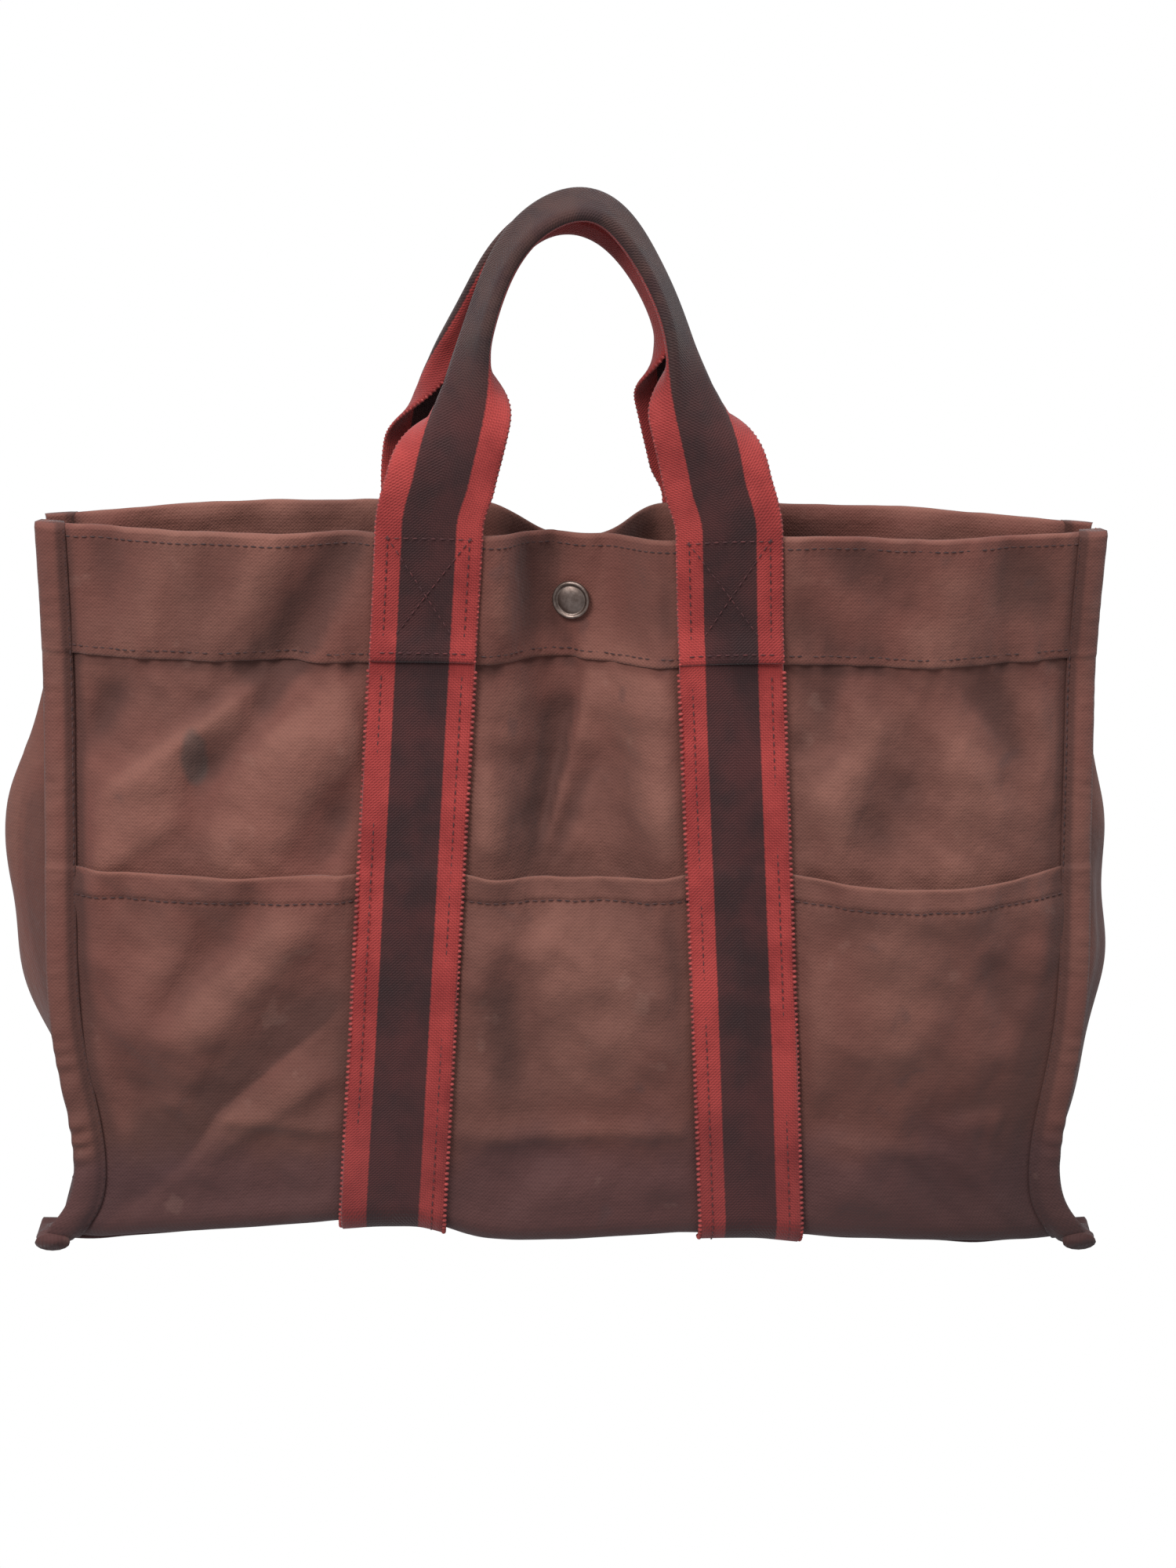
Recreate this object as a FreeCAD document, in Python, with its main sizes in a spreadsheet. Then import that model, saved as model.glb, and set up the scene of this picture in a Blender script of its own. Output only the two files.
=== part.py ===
import FreeCAD, Part
import math
import os
import Sketcher

# Canvas tote bag with outer pockets, striped webbing and two handles.
# X runs along the width, -Y is the front, Z is up, and the bag stands on z = 0.
# Millimetres. The mouth is drawn together and held by the snap in the middle.

Vector = FreeCAD.Vector

doc = FreeCAD.newDocument("canvas_tote")
sheet = doc.addObject("Spreadsheet::Sheet", "Sizes")

DIMENSIONS = {
    # the bag's outline
    "mouth_width": 408.0,
    "bag_height": 273.0,
    "base_depth": 130.0,
    "lobe_depth": 28.0,
    "corner_depth": 7.0,
    "lobe_sag": 8.0,
    "gusset_bulge": 25.0,
    "gusset_bulge_height": 148.0,
    # cloth
    "canvas": 1.2,
    "ply_gap": 0.3,
    "body_gap": 0.4,
    "band_height": 50.0,
    "flange_width": 11.0,
    "pocket_height": 143.0,
    "side_pocket_bulge": 20.0,
    "middle_pocket_bulge": 12.0,
    # webbing
    "web_width": 40.0,
    "web_thickness": 1.8,
    "web_top_offset": 56.0,
    "web_base_offset": 71.0,
    "web_margin": 4.0,
    # handles
    "leg_height": 68.0,
    "grip_half_span": 40.0,
    "arch_radius": 33.0,
    "arch_centre_height": 85.0,
    "grip_width": 17.0,
    "grip_thickness": 7.0,
    "hinge_lift": 1.2,
    # snap fastener
    "snap_drop": 30.0,
    "snap_flat": 18.0,
    "snap_half_gap": 1.8,
    "cap_diameter": 15.0,
    "cap_height": 2.6,
    "back_cap_diameter": 11.0,
    "back_cap_height": 1.4,
    "socket_diameter": 12.5,
    "socket_thickness": 2.2,
    "socket_bore": 6.6,
    "groove_depth": 0.9,
    "groove_width": 0.8,
    "spring_wire": 0.5,
    "stud_diameter": 5.4,
    "stud_flange_diameter": 12.0,
    "stud_flange": 0.9,
    "stud_length": 1.7,
    "post_diameter": 4.0,
    "post_clearance": 0.2,
}

for row, (alias, number) in enumerate(DIMENSIONS.items(), start=1):
    sheet.set(f"A{row}", alias.replace("_", " "))
    sheet.set(f"B{row}", str(number))
    sheet.setAlias(f"B{row}", alias)
doc.recompute()


def s(alias):
    """Name a driving dimension in an expression."""
    assert alias in DIMENSIONS, alias
    return f"Sizes.{alias}"


def number(expression):
    """Work out an expression's present value."""
    found = sheet.evalExpression(str(expression))
    return float(getattr(found, "Value", found))


# ---- heights and half widths that several pieces share -------------------------------

HALF = f"({s('mouth_width')} / 2)"
PANEL_HALF = f"({HALF} - {s('flange_width')})"
BASE_HALF_DEPTH = f"({s('base_depth')} / 2)"
BASE_TOP = f"({s('web_thickness')} + 2 * {s('canvas')})"
WALL_START = f"({BASE_TOP} + {s('body_gap')})"
BAND_BOTTOM = f"({s('bag_height')} - {s('band_height')})"
FLAT_HALF = f"({s('snap_flat')} / 2)"
SNAP_HEIGHT = f"({s('bag_height')} - {s('snap_drop')})"

# plies, counted outwards from the inner face of the canvas
CANVAS_PLY = ("0", s("canvas"))
SEAM_PLY = ("0", f"(2 * {s('canvas')})")
HEM_IN = f"({s('canvas')} + {s('ply_gap')})"
HEM_OUT = f"({HEM_IN} + {s('canvas')})"
HEM_PLY = (HEM_IN, HEM_OUT)
WEB_IN = f"({HEM_OUT} + {s('ply_gap')})"
WEB_OUT = f"({WEB_IN} + {s('web_thickness')})"
WEB_PLY = (WEB_IN, WEB_OUT)


def radius_of(chord, sag):
    """Radius of the arc with this chord and sag."""
    return f"((({chord})^2 / 4 + ({sag})^2) / (2 * ({sag})))"


def chord_of(start, end):
    """Length of the line between two corners."""
    return f"sqrt(({start[0]} - {end[0]})^2 + ({start[1]} - {end[1]})^2)"


def web_offset(height):
    """Middle of the webbing, which runs out a little towards the base."""
    drop = f"({s('web_base_offset')} - {s('web_top_offset')})"
    return f"({s('web_base_offset')} - {drop} * {height} / {s('bag_height')})"


def stiff_zone(height):
    """Inner and outer edge of the cloth that the webbing keeps flat."""
    reach = f"({s('web_width')} / 2 + {s('web_margin')})"
    return f"({web_offset(height)} - {reach})", f"({web_offset(height)} + {reach})"


def wall_depth(mouth_depth, height):
    """Distance of the wall from the middle plane below the band, where it is mouth_depth
    in the band."""
    share = f"(({height} - {WALL_START}) / ({BAND_BOTTOM} - {WALL_START}))"
    return f"({BASE_HALF_DEPTH} * (1 - {share}) + {mouth_depth} * {share})"


def seam_depth(height):
    """Mouth depth where the panel meets its seam flange, a little in from the corner."""
    share = f"({s('flange_width')} / ({HALF} - {stiff_zone(height)[1]}))"
    slope = f"({s('lobe_depth')} - {s('corner_depth')})"
    return f"({s('corner_depth')} + {slope} * {share} + 4 * {s('lobe_sag')} * {share} * (1 - {share}))"


# ---- sketches and plain solids ---------------------------------------------------------

def add_loop(sketch, corners, arcs=None):
    """Draw a closed loop: corners are (x, y) expressions, and arcs gives the sag of the
    arc that leaves a corner, positive to the right of the way there."""
    arcs = arcs or {}
    points = [Vector(number(x), number(y), 0) for x, y in corners]
    ends = []
    for index, start in enumerate(points):
        end = points[(index + 1) % len(points)]
        if index not in arcs:
            sketch.addGeometry(Part.LineSegment(start, end), False)
            ends.append((1, 2))
            continue
        along = (end - start).normalize()
        sideways = Vector(along.y, -along.x, 0)
        middle = (start + end) / 2 + sideways * number(arcs[index])
        sketch.addGeometry(Part.Arc(start, middle, end), False)
        forward = (sketch.getPoint(index, 1) - start).Length < (sketch.getPoint(index, 2) - start).Length
        ends.append((1, 2) if forward else (2, 1))
    for index in range(len(points)):
        after = (index + 1) % len(points)
        joint = Sketcher.Constraint("Coincident", index, ends[index][1], after, ends[after][0])
        sketch.addConstraint(joint)
    for index, (x, y) in enumerate(corners):
        at = ends[index][0]
        across = sketch.addConstraint(Sketcher.Constraint("DistanceX", -1, 1, index, at, points[index].x))
        up = sketch.addConstraint(Sketcher.Constraint("DistanceY", -1, 1, index, at, points[index].y))
        sketch.setExpression(f"Constraints[{across}]", str(x))
        sketch.setExpression(f"Constraints[{up}]", str(y))
    for index, sag in arcs.items():
        chord = chord_of(corners[index], corners[(index + 1) % len(corners)])
        radius = f"abs({radius_of(chord, sag)})"
        bend = sketch.addConstraint(Sketcher.Constraint("Radius", index, number(radius)))
        sketch.setExpression(f"Constraints[{bend}]", radius)


def level_sketch(name, height, corners, arcs=None):
    """A loop drawn flat, at a height."""
    sketch = doc.addObject("Sketcher::SketchObject", name)
    sketch.setExpression("Placement.Base.z", str(height))
    add_loop(sketch, corners, arcs)
    return sketch


def upright_sketch(name, corners, arcs=None):
    """A loop drawn in the XZ plane."""
    sketch = doc.addObject("Sketcher::SketchObject", name)
    sketch.Placement = FreeCAD.Placement(Vector(0, 0, 0), FreeCAD.Rotation(Vector(1, 0, 0), 90))
    add_loop(sketch, corners, arcs)
    return sketch


def loft(name, sections, ruled=True):
    """A solid through a list of sketches."""
    solid = doc.addObject("Part::Loft", name)
    solid.Sections = sections
    solid.Solid = True
    solid.Ruled = ruled
    return solid


def extrude(name, sketch, length):
    """An upright sketch made as thick as length, evenly about the middle plane."""
    solid = doc.addObject("Part::Extrusion", name)
    solid.Base = sketch
    solid.DirMode = "Custom"
    solid.Dir = Vector(0, 1, 0)
    solid.Solid = True
    solid.Symmetric = True
    solid.setExpression("LengthFwd", str(length))
    return solid


def block(name, low, high):
    """A box between two corners given as expressions."""
    box = doc.addObject("Part::Box", name)
    for side, start, end in zip(("Length", "Width", "Height"), low, high):
        box.setExpression(side, f"({end}) - ({start})")
    for axis, start in zip("xyz", low):
        box.setExpression(f"Placement.Base.{axis}", str(start))
    return box


def boolean(kind, name, base, tool):
    """Part::Common or Part::Cut of two objects."""
    solid = doc.addObject(kind, name)
    solid.Base = base
    solid.Tool = tool
    return solid


def join(name, pieces):
    """One solid from pieces that meet."""
    solid = doc.addObject("Part::MultiFuse", name)
    solid.Shapes = pieces
    solid.Refine = True
    return solid


NODES = []


def node(label, shape_object, turned=False):
    """Keep an object as a piece of the bag; the back wall is the front one turned round."""
    shape_object.Label = label
    if turned:
        shape_object.Placement = FreeCAD.Placement(
            Vector(0, 0, 0), FreeCAD.Rotation(Vector(0, 0, 1), 180))
    NODES.append(shape_object)
    return shape_object


# ---- the cloth of a wall, ply by ply -------------------------------------------------------

def wall_section(name, height, ply, at_mouth):
    """Cross-section of one ply: straight at the base, two lobes at the mouth."""
    inner_edge, outer_edge = stiff_zone(height)
    half = [(HALF, s("corner_depth")), (outer_edge, s("lobe_depth")),
            (inner_edge, s("lobe_depth")), (FLAT_HALF, s("snap_half_gap"))]
    stations = [(f"-{x}", depth) for x, depth in half] + half[::-1]
    if not at_mouth:
        stations = [(x, BASE_HALF_DEPTH) for x, _ in stations]
    inner, outer = ply
    corners = [(x, f"-({depth} + {outer})") for x, depth in stations]
    corners += [(x, f"-({depth} + {inner})") for x, depth in stations[::-1]]
    sag = s("lobe_sag")
    arcs = {0: sag, 6: sag, 8: f"-{sag}", 14: f"-{sag}"} if at_mouth else None
    return level_sketch(name, height, corners, arcs)


def wall_ply(name, ply):
    """One ply over the whole wall: slanted up to the band, upright in the band."""
    return loft(name, [
        wall_section(name + "_base", WALL_START, ply, at_mouth=False),
        wall_section(name + "_band", BAND_BOTTOM, ply, at_mouth=True),
        wall_section(name + "_mouth", s("bag_height"), ply, at_mouth=True),
    ])


canvas_ply = wall_ply("canvas_ply", CANVAS_PLY)
seam_ply = wall_ply("seam_ply", SEAM_PLY)
hem_ply = wall_ply("hem_ply", HEM_PLY)
web_ply = wall_ply("web_ply", WEB_PLY)


def upright_cutter(name, side, low, high):
    """Prism that keeps a length of webbing on one side of a wall."""
    half_web = f"{s('web_width')} / 2"
    corners = []
    for height, signs in ((low, (-1, 1)), (high, (1, -1))):
        for sign in signs:
            corners.append((f"{side} * {web_offset(height)} + {sign} * {half_web}", height))
    return extrude(name, upright_sketch(name + "_outline", corners), f"4 * {s('base_depth')}")


def wall_block(name, left, right, low, high):
    """Box that keeps what lies between two stations and two heights."""
    deep = s("base_depth")
    return block(name, (left, f"-{deep}", low), (right, "0", high))


def snap_hole(name):
    """The hole that a snap's post passes through."""
    hole = doc.addObject("Part::Cylinder", name)
    hole.setExpression("Radius", f"{s('post_diameter')} / 2 + {s('post_clearance')}")
    hole.setExpression("Height", s("base_depth"))
    hole.Placement = FreeCAD.Placement(Vector(0, 0, 0), FreeCAD.Rotation(Vector(1, 0, 0), 90))
    hole.setExpression("Placement.Base.z", SNAP_HEIGHT)
    return hole


def pocket_section(name, height, bulging):
    """Cross-section of the pocket cloth, bowed out between the webbing."""
    centre = web_offset(height)
    inner_edge = f"({centre} - {s('web_width')} / 2)"
    outer_edge = f"({centre} + {s('web_width')} / 2)"
    half = [(PANEL_HALF, seam_depth(height)), (outer_edge, s("lobe_depth")), (inner_edge, s("lobe_depth"))]
    stations = [(f"-{x}", depth) for x, depth in half] + half[::-1]
    corners = []
    for ply, order in ((HEM_OUT, stations), (HEM_IN, stations[::-1])):
        for x, depth in order:
            corners.append((x, f"-({wall_depth(depth, height)} + {ply})"))
    arcs = None
    if bulging:
        side, middle = s("side_pocket_bulge"), s("middle_pocket_bulge")
        arcs = {0: side, 2: middle, 4: side, 6: f"-{side}", 8: f"-{middle}", 10: f"-{side}"}
    return level_sketch(name, height, corners, arcs)


def build_wall(side_name, turned):
    """The pieces of the front wall, or of the back one."""
    def part(label):
        return f"{side_name}_{label}"

    hole = snap_hole(part("snap_hole"))
    field = wall_block(part("field"), f"-{PANEL_HALF}", PANEL_HALF, WALL_START, s("bag_height"))
    panel = boolean("Part::Common", part("panel_blank"), canvas_ply, field)
    node(part("panel"), boolean("Part::Cut", part("panel_cut"), panel, hole), turned)

    band_field = wall_block(part("band_field"), f"-{PANEL_HALF}", PANEL_HALF, BAND_BOTTOM, s("bag_height"))
    band = boolean("Part::Common", part("band_blank"), hem_ply, band_field)
    node(part("top_band"), boolean("Part::Cut", part("band_cut"), band, hole), turned)

    pocket = loft(part("pocket_loft"), [
        pocket_section(part("pocket_base"), WALL_START, bulging=False),
        pocket_section(part("pocket_mouth"), s("pocket_height"), bulging=True),
    ])
    node(part("pocket_panel"), pocket, turned)

    for hand, side in (("left", -1), ("right", 1)):
        hand = hand if not turned else {"left": "right", "right": "left"}[hand]
        edges = [f"{side} * {PANEL_HALF}", f"{side} * {HALF}"]
        left, right = edges if side > 0 else edges[::-1]
        strip = wall_block(part(hand + "_seam_field"), left, right, WALL_START, s("bag_height"))
        seam = boolean("Part::Common", part(hand + "_seam_cut"), seam_ply, strip)
        node(part(hand + "_seam"), seam, turned)

        run = upright_cutter(part(hand + "_strap_field"), side, WALL_START, BAND_BOTTOM)
        strap = boolean("Part::Common", part(hand + "_strap_cut"), web_ply, run)
        node(part(hand + "_strap"), strap, turned)

        tab_low = f"({BAND_BOTTOM} + {s('ply_gap')})"
        end = upright_cutter(part(hand + "_tab_field"), side, tab_low, s("bag_height"))
        tab = boolean("Part::Common", part(hand + "_tab_cut"), web_ply, end)
        node(part(hand + "_handle_tab"), tab, turned)


build_wall("front", turned=False)
build_wall("back", turned=True)


# ---- snap fastener, turned about Y -----------------------------------------------------------

def revolve(label, corners, arcs, depth):
    """Body turned about Y from a profile of (radius, y) corners, set at a depth."""
    body = doc.addObject("PartDesign::Body", label + "_body")
    plane = next(part for part in body.Origin.OriginFeatures if part.Role == "XY_Plane")
    sketch = body.newObject("Sketcher::SketchObject", label + "_profile")
    sketch.AttachmentSupport = [(plane, "")]
    sketch.MapMode = "FlatFace"
    add_loop(sketch, corners, arcs)
    turn = body.newObject("PartDesign::Revolution", label + "_turn")
    turn.Profile = sketch
    turn.ReferenceAxis = (sketch, ["V_Axis"])
    turn.Angle = 360
    body.setExpression("Placement.Base.y", depth)
    body.setExpression("Placement.Base.z", SNAP_HEIGHT)
    return node(label, body)


def headed_post(label, diameter, height, sign, post_length):
    """Domed head with the post that holds the other half; sign is the way it faces."""
    head, post = f"{s(diameter)} / 2", f"{s('post_diameter')} / 2"
    rim = f"{s(height)} / 3"
    rise = f"({s(height)} - {rim})"
    dome = f"((({head})^2 + {rise}^2) / (2 * {rise}))"
    corners = [("0", f"{-sign} * {post_length}"), (post, f"{-sign} * {post_length}"),
               (post, "0"), (head, "0"), (head, f"{sign} * {rim}"), ("0", f"{sign} * {s(height)}")]
    bow = f"{sign} * ({dome} - sqrt({dome}^2 - (({head})^2 + {rise}^2) / 4))"
    depth = f"{sign} * ({s('snap_half_gap')} + {HEM_OUT})"
    return revolve(label, corners, {4: bow}, depth)


SOCKET_RADIUS = f"({s('socket_diameter')} / 2)"
BORE_RADIUS = f"({s('socket_bore')} / 2)"
FLOOR = f"({s('socket_thickness')} - {s('stud_length')} - {s('groove_width')} / 4)"
GROOVE_LOW = f"(({s('socket_thickness')} + {FLOOR} - {s('groove_width')}) / 2)"
GROOVE_HIGH = f"({GROOVE_LOW} + {s('groove_width')})"

headed_post("snap_cap", "cap_diameter", "cap_height", -1, HEM_OUT)
headed_post("snap_back_cap", "back_cap_diameter", "back_cap_height", 1, HEM_OUT)

revolve("snap_socket", [
    ("0", "0"), (SOCKET_RADIUS, "0"), (SOCKET_RADIUS, s("socket_thickness")),
    (BORE_RADIUS, s("socket_thickness")), (BORE_RADIUS, GROOVE_HIGH),
    (f"{BORE_RADIUS} + {s('groove_depth')}", GROOVE_HIGH),
    (f"{BORE_RADIUS} + {s('groove_depth')}", GROOVE_LOW),
    (BORE_RADIUS, GROOVE_LOW), (BORE_RADIUS, FLOOR), ("0", FLOOR),
], None, f"-{s('snap_half_gap')}")

STUD_RADIUS = f"({s('stud_diameter')} / 2)"
STUD_TIP = f"({s('stud_flange')} + {s('stud_length')})"
revolve("snap_stud", [
    ("0", f"-{STUD_TIP}"), (f"{STUD_RADIUS} - {s('stud_flange')} / 2", f"-{STUD_TIP}"),
    (STUD_RADIUS, f"-{STUD_TIP} + {s('stud_flange')} / 2"), (STUD_RADIUS, f"-{s('stud_flange')}"),
    (f"{s('stud_flange_diameter')} / 2", f"-{s('stud_flange')}"),
    (f"{s('stud_flange_diameter')} / 2", "0"), ("0", "0"),
], None, s("snap_half_gap"))

spring = doc.addObject("Part::Torus", "snap_spring_ring")
spring.setExpression("Radius1", f"{BORE_RADIUS} + {s('groove_depth')} / 2")
spring.setExpression("Radius2", f"{s('spring_wire')} / 2")
spring.Placement = FreeCAD.Placement(Vector(0, 0, 0), FreeCAD.Rotation(Vector(1, 0, 0), 90))
spring.setExpression("Placement.Base.y", f"-{s('snap_half_gap')} + ({GROOVE_LOW} + {GROOVE_HIGH}) / 2")
spring.setExpression("Placement.Base.z", SNAP_HEIGHT)
node("snap_spring", spring)


# ---- base, its seams and the webbing that runs under it ----------------------------------------

BASE_REACH = f"({BASE_HALF_DEPTH} + {WEB_OUT})"
SEAM_EDGE = f"({HALF} + {s('body_gap')})"

node("base_panel", block("base_cloth", (f"-{PANEL_HALF}", f"-{BASE_REACH}", s("web_thickness")),
                         (PANEL_HALF, BASE_REACH, BASE_TOP)))
for hand, side in (("left", -1), ("right", 1)):
    edges = [f"{side} * {PANEL_HALF}", f"{side} * {SEAM_EDGE}"]
    left, right = edges if side > 0 else edges[::-1]
    node(hand + "_base_seam", block(hand + "_base_seam_strip", (left, f"-{BASE_REACH}", s("web_thickness")),
                                    (right, BASE_REACH, BASE_TOP)))
    middle = f"{side} * {s('web_base_offset')}"
    half_web = f"{s('web_width')} / 2"
    node(hand + "_base_strap", block(hand + "_base_webbing",
                                     (f"{middle} - {half_web}", f"-{BASE_REACH}", "0"),
                                     (f"{middle} + {half_web}", BASE_REACH, s("web_thickness"))))


# ---- side gussets ------------------------------------------------------------------------------------

def gusset_section(name, height, side, half_depth, bulge):
    """Cross-section of the side cloth, bowed outwards between the two walls."""
    inner = f"{side} * {SEAM_EDGE}"
    outer = f"{side} * ({SEAM_EDGE} + {s('canvas')})"
    corners = [(outer, f"{-side} * {half_depth}"), (outer, f"{side} * {half_depth}"),
               (inner, f"{side} * {half_depth}"), (inner, f"{-side} * {half_depth}")]
    return level_sketch(name, height, corners, {0: bulge, 2: f"-{bulge}"})


def edge_depth(height):
    """Half depth of the bag at its corners."""
    share = f"(({height} - {WALL_START}) / ({BAND_BOTTOM} - {WALL_START}))"
    return f"({BASE_HALF_DEPTH} * (1 - {share}) + {s('corner_depth')} * {share})"


SLIGHT = f"({s('gusset_bulge')} / 12)"
for hand, side in (("left", -1), ("right", 1)):
    low_part = f"({s('gusset_bulge_height')} / 3)"
    high_part = f"(({s('gusset_bulge_height')} + {BAND_BOTTOM}) / 2)"
    sections = [
        gusset_section(hand + "_gusset_base", BASE_TOP, side, BASE_HALF_DEPTH, SLIGHT),
        gusset_section(hand + "_gusset_low", low_part, side, edge_depth(low_part),
                       f"({s('gusset_bulge')} * 0.4)"),
        gusset_section(hand + "_gusset_mid", s("gusset_bulge_height"), side,
                       edge_depth(s("gusset_bulge_height")), s("gusset_bulge")),
        gusset_section(hand + "_gusset_high", high_part, side, edge_depth(high_part),
                       f"({s('gusset_bulge')} * 0.55)"),
        gusset_section(hand + "_gusset_top", BAND_BOTTOM, side, s("corner_depth"), SLIGHT),
    ]
    node(hand + "_gusset", loft(hand + "_gusset_cloth", sections))
    band = [sections[-1], gusset_section(hand + "_band_top", s("bag_height"), side, s("corner_depth"), SLIGHT)]
    node(hand + "_gusset_band", loft(hand + "_band_cloth", band))


# ---- handles: flat legs that fold up into a narrow arched grip ---------------------------------------

GRIP_HALF = f"({s('grip_width')} / 2)"
ARCH_SPAN = s("arch_radius")


def arch_outline(name):
    """Outline of the grip, as two legs joined by an arc."""
    outer, inner = f"({ARCH_SPAN} + {GRIP_HALF})", f"({ARCH_SPAN} - {GRIP_HALF})"
    foot_out, foot_in = f"({s('grip_half_span')} + {GRIP_HALF})", f"({s('grip_half_span')} - {GRIP_HALF})"
    spring_line, foot = s("arch_centre_height"), s("leg_height")
    corners = [(f"-{foot_out}", foot), (f"-{outer}", spring_line), ("0", f"{spring_line} + {outer}"),
               (outer, spring_line), (foot_out, foot), (foot_in, foot), (inner, spring_line),
               ("0", f"{spring_line} + {inner}"), (f"-{inner}", spring_line), (f"-{foot_in}", foot)]
    over, under = (f"({radius} * (1 - sqrt(0.5)))" for radius in (outer, inner))
    return upright_sketch(name, corners, {1: f"-{over}", 2: f"-{over}", 6: under, 7: under})


def leg_section(name, height, middle, inset, width, thickness):
    """Cross-section of a leg, set in from the hinge line."""
    half_wide, half_thick = f"({width} / 2)", f"({thickness} / 2)"
    left, right = f"{middle} - {half_wide}", f"{middle} + {half_wide}"
    front, rear = f"{inset} - {half_thick}", f"{inset} + {half_thick}"
    corners = [(left, front), (right, front), (right, rear), (left, rear)]
    return level_sketch(name, height, corners)


# a handle bends about the outer face of its sewn ends
HINGE_DEPTH = f"({s('lobe_depth')} + {WEB_OUT} + {s('ply_gap')})"
LEG_INSET = f"({s('ply_gap')} + {s('web_thickness')} / 2)"
ARCH_TOP = f"({s('arch_centre_height')} + {s('arch_radius')} + {GRIP_HALF})"
GRIP_REST = f"(2 * {s('body_gap')} + {LEG_INSET} + {s('grip_thickness')} / 2)"
HANDLE_LEAN = f"asin(({HINGE_DEPTH} - {GRIP_REST}) / {ARCH_TOP})"

for side_name, facing in (("front", -1), ("back", 1)):
    grip = extrude(side_name + "_grip", arch_outline(side_name + "_grip_outline"), s("grip_thickness"))
    inset = f"{-facing} * {LEG_INSET}"
    grip.setExpression("Placement.Base.y", inset)
    pieces = [grip]
    for hand, side in (("left", -1), ("right", 1)):
        name = f"{side_name}_{hand}_leg"
        foot, head = f"{side} * {s('web_top_offset')}", f"{side} * {s('grip_half_span')}"
        pieces.append(loft(name, [
            leg_section(name + "_foot", "0", foot, inset, s("web_width"), s("web_thickness")),
            leg_section(name + "_head", s("leg_height"), head, inset, s("grip_width"), s("grip_thickness")),
        ]))
    handle = node(side_name + "_handle", join(side_name + "_handle_webbing", pieces))
    handle.setExpression("Placement.Base.y", f"{facing} * {HINGE_DEPTH}")
    handle.setExpression("Placement.Base.z", f"{s('bag_height')} + {s('hinge_lift')}")
    handle.Placement.Rotation = FreeCAD.Rotation(Vector(facing, 0, 0), 1)
    handle.setExpression("Placement.Rotation.Angle", HANDLE_LEAN)


# ---- check and write out ---------------------------------------------------------------------------------

doc.recompute()
for item in doc.Objects:
    faults = [state for state in item.State if state in ("Invalid", "Error")]
    assert not faults, (item.Label, faults)
os.makedirs("parts", exist_ok=True)
for piece in NODES:
    shape = piece.Shape
    assert not shape.isNull() and shape.isValid() and shape.Volume > 0, piece.Label
    assert len(shape.Solids) == 1, (piece.Label, len(shape.Solids))
    shape.exportStep(f"parts/{piece.Label}.step")
print(len(NODES), "pieces")
print("apex", math.ceil(max(piece.Shape.BoundBox.ZMax for piece in NODES)))
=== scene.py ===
import math

import bpy
import numpy as np
from mathutils import Matrix, Vector


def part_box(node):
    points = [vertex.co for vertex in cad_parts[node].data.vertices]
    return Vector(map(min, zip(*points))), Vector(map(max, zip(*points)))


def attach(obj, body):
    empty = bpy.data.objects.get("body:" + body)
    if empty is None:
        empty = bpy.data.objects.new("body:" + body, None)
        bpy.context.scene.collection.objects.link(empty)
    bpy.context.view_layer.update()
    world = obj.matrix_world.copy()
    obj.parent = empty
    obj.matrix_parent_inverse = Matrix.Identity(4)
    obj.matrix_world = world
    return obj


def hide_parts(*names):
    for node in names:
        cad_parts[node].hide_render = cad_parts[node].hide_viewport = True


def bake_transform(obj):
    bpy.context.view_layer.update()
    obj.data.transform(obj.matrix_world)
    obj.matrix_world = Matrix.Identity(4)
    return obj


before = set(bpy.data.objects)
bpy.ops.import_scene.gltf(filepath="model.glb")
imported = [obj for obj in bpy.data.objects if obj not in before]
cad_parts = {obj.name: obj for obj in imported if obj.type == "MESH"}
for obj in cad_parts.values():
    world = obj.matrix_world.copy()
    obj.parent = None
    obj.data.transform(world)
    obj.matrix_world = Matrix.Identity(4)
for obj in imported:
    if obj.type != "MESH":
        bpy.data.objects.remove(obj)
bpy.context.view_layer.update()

# ---- places and sizes read from the frame, in metres -----------------------------------

HALF = float(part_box("front_right_seam")[1][0])
PANEL_HALF = float(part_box("front_panel")[1][0])
BAG_TOP = float(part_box("front_top_band")[1][2])
BAND_LOW = float(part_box("front_top_band")[0][2])
POCKET_TOP = float(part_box("front_pocket_panel")[1][2])
GUSSET_HALF_WIDTH = float(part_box("left_gusset")[1][1])
BASE_HALF_DEPTH = GUSSET_HALF_WIDTH + 0.0055
BASE_REACH = float(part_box("base_panel")[1][1])
CORNER_DEPTH = float(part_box("left_gusset_band")[1][1])
WEB_WIDTH = float(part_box("left_base_strap")[1][0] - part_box("left_base_strap")[0][0])
WEB_BASE_X = float(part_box("right_base_strap")[0][0]) + WEB_WIDTH / 2
WEB_TOP_X = float(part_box("front_right_handle_tab")[0][0]) + WEB_WIDTH / 2
SNAP_Z = float(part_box("snap_cap")[0][2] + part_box("snap_cap")[1][2]) / 2
CAP_RADIUS = float(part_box("snap_cap")[1][0])

# cloth and webbing
CANVAS = 0.0012
WEBBING = 0.0018
PLY_HEM = (0.0012, 0.0028)
PLY_POCKET = (0.0014, 0.0026)
PLY_WEB = (0.0030, 0.0048)
FLANGE = HALF - PANEL_HALF
BOTTOM_ROUND = 0.007
CLOTH_GROUND = PLY_WEB[1]
STITCH_PITCH = 0.0031
THREAD = 0.00055
SNAP_FLAT = 0.008
SNAP_HALF_GAP = 0.0018
SNAP_SHIFT = -0.0016
SNAP_TURN = 0.30


def ramp(low, high, value):
    """0 below low, 1 above high, smooth between."""
    t = np.clip((value - low) / (high - low), 0, 1)
    return t * t * (3 - 2 * t)


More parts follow.
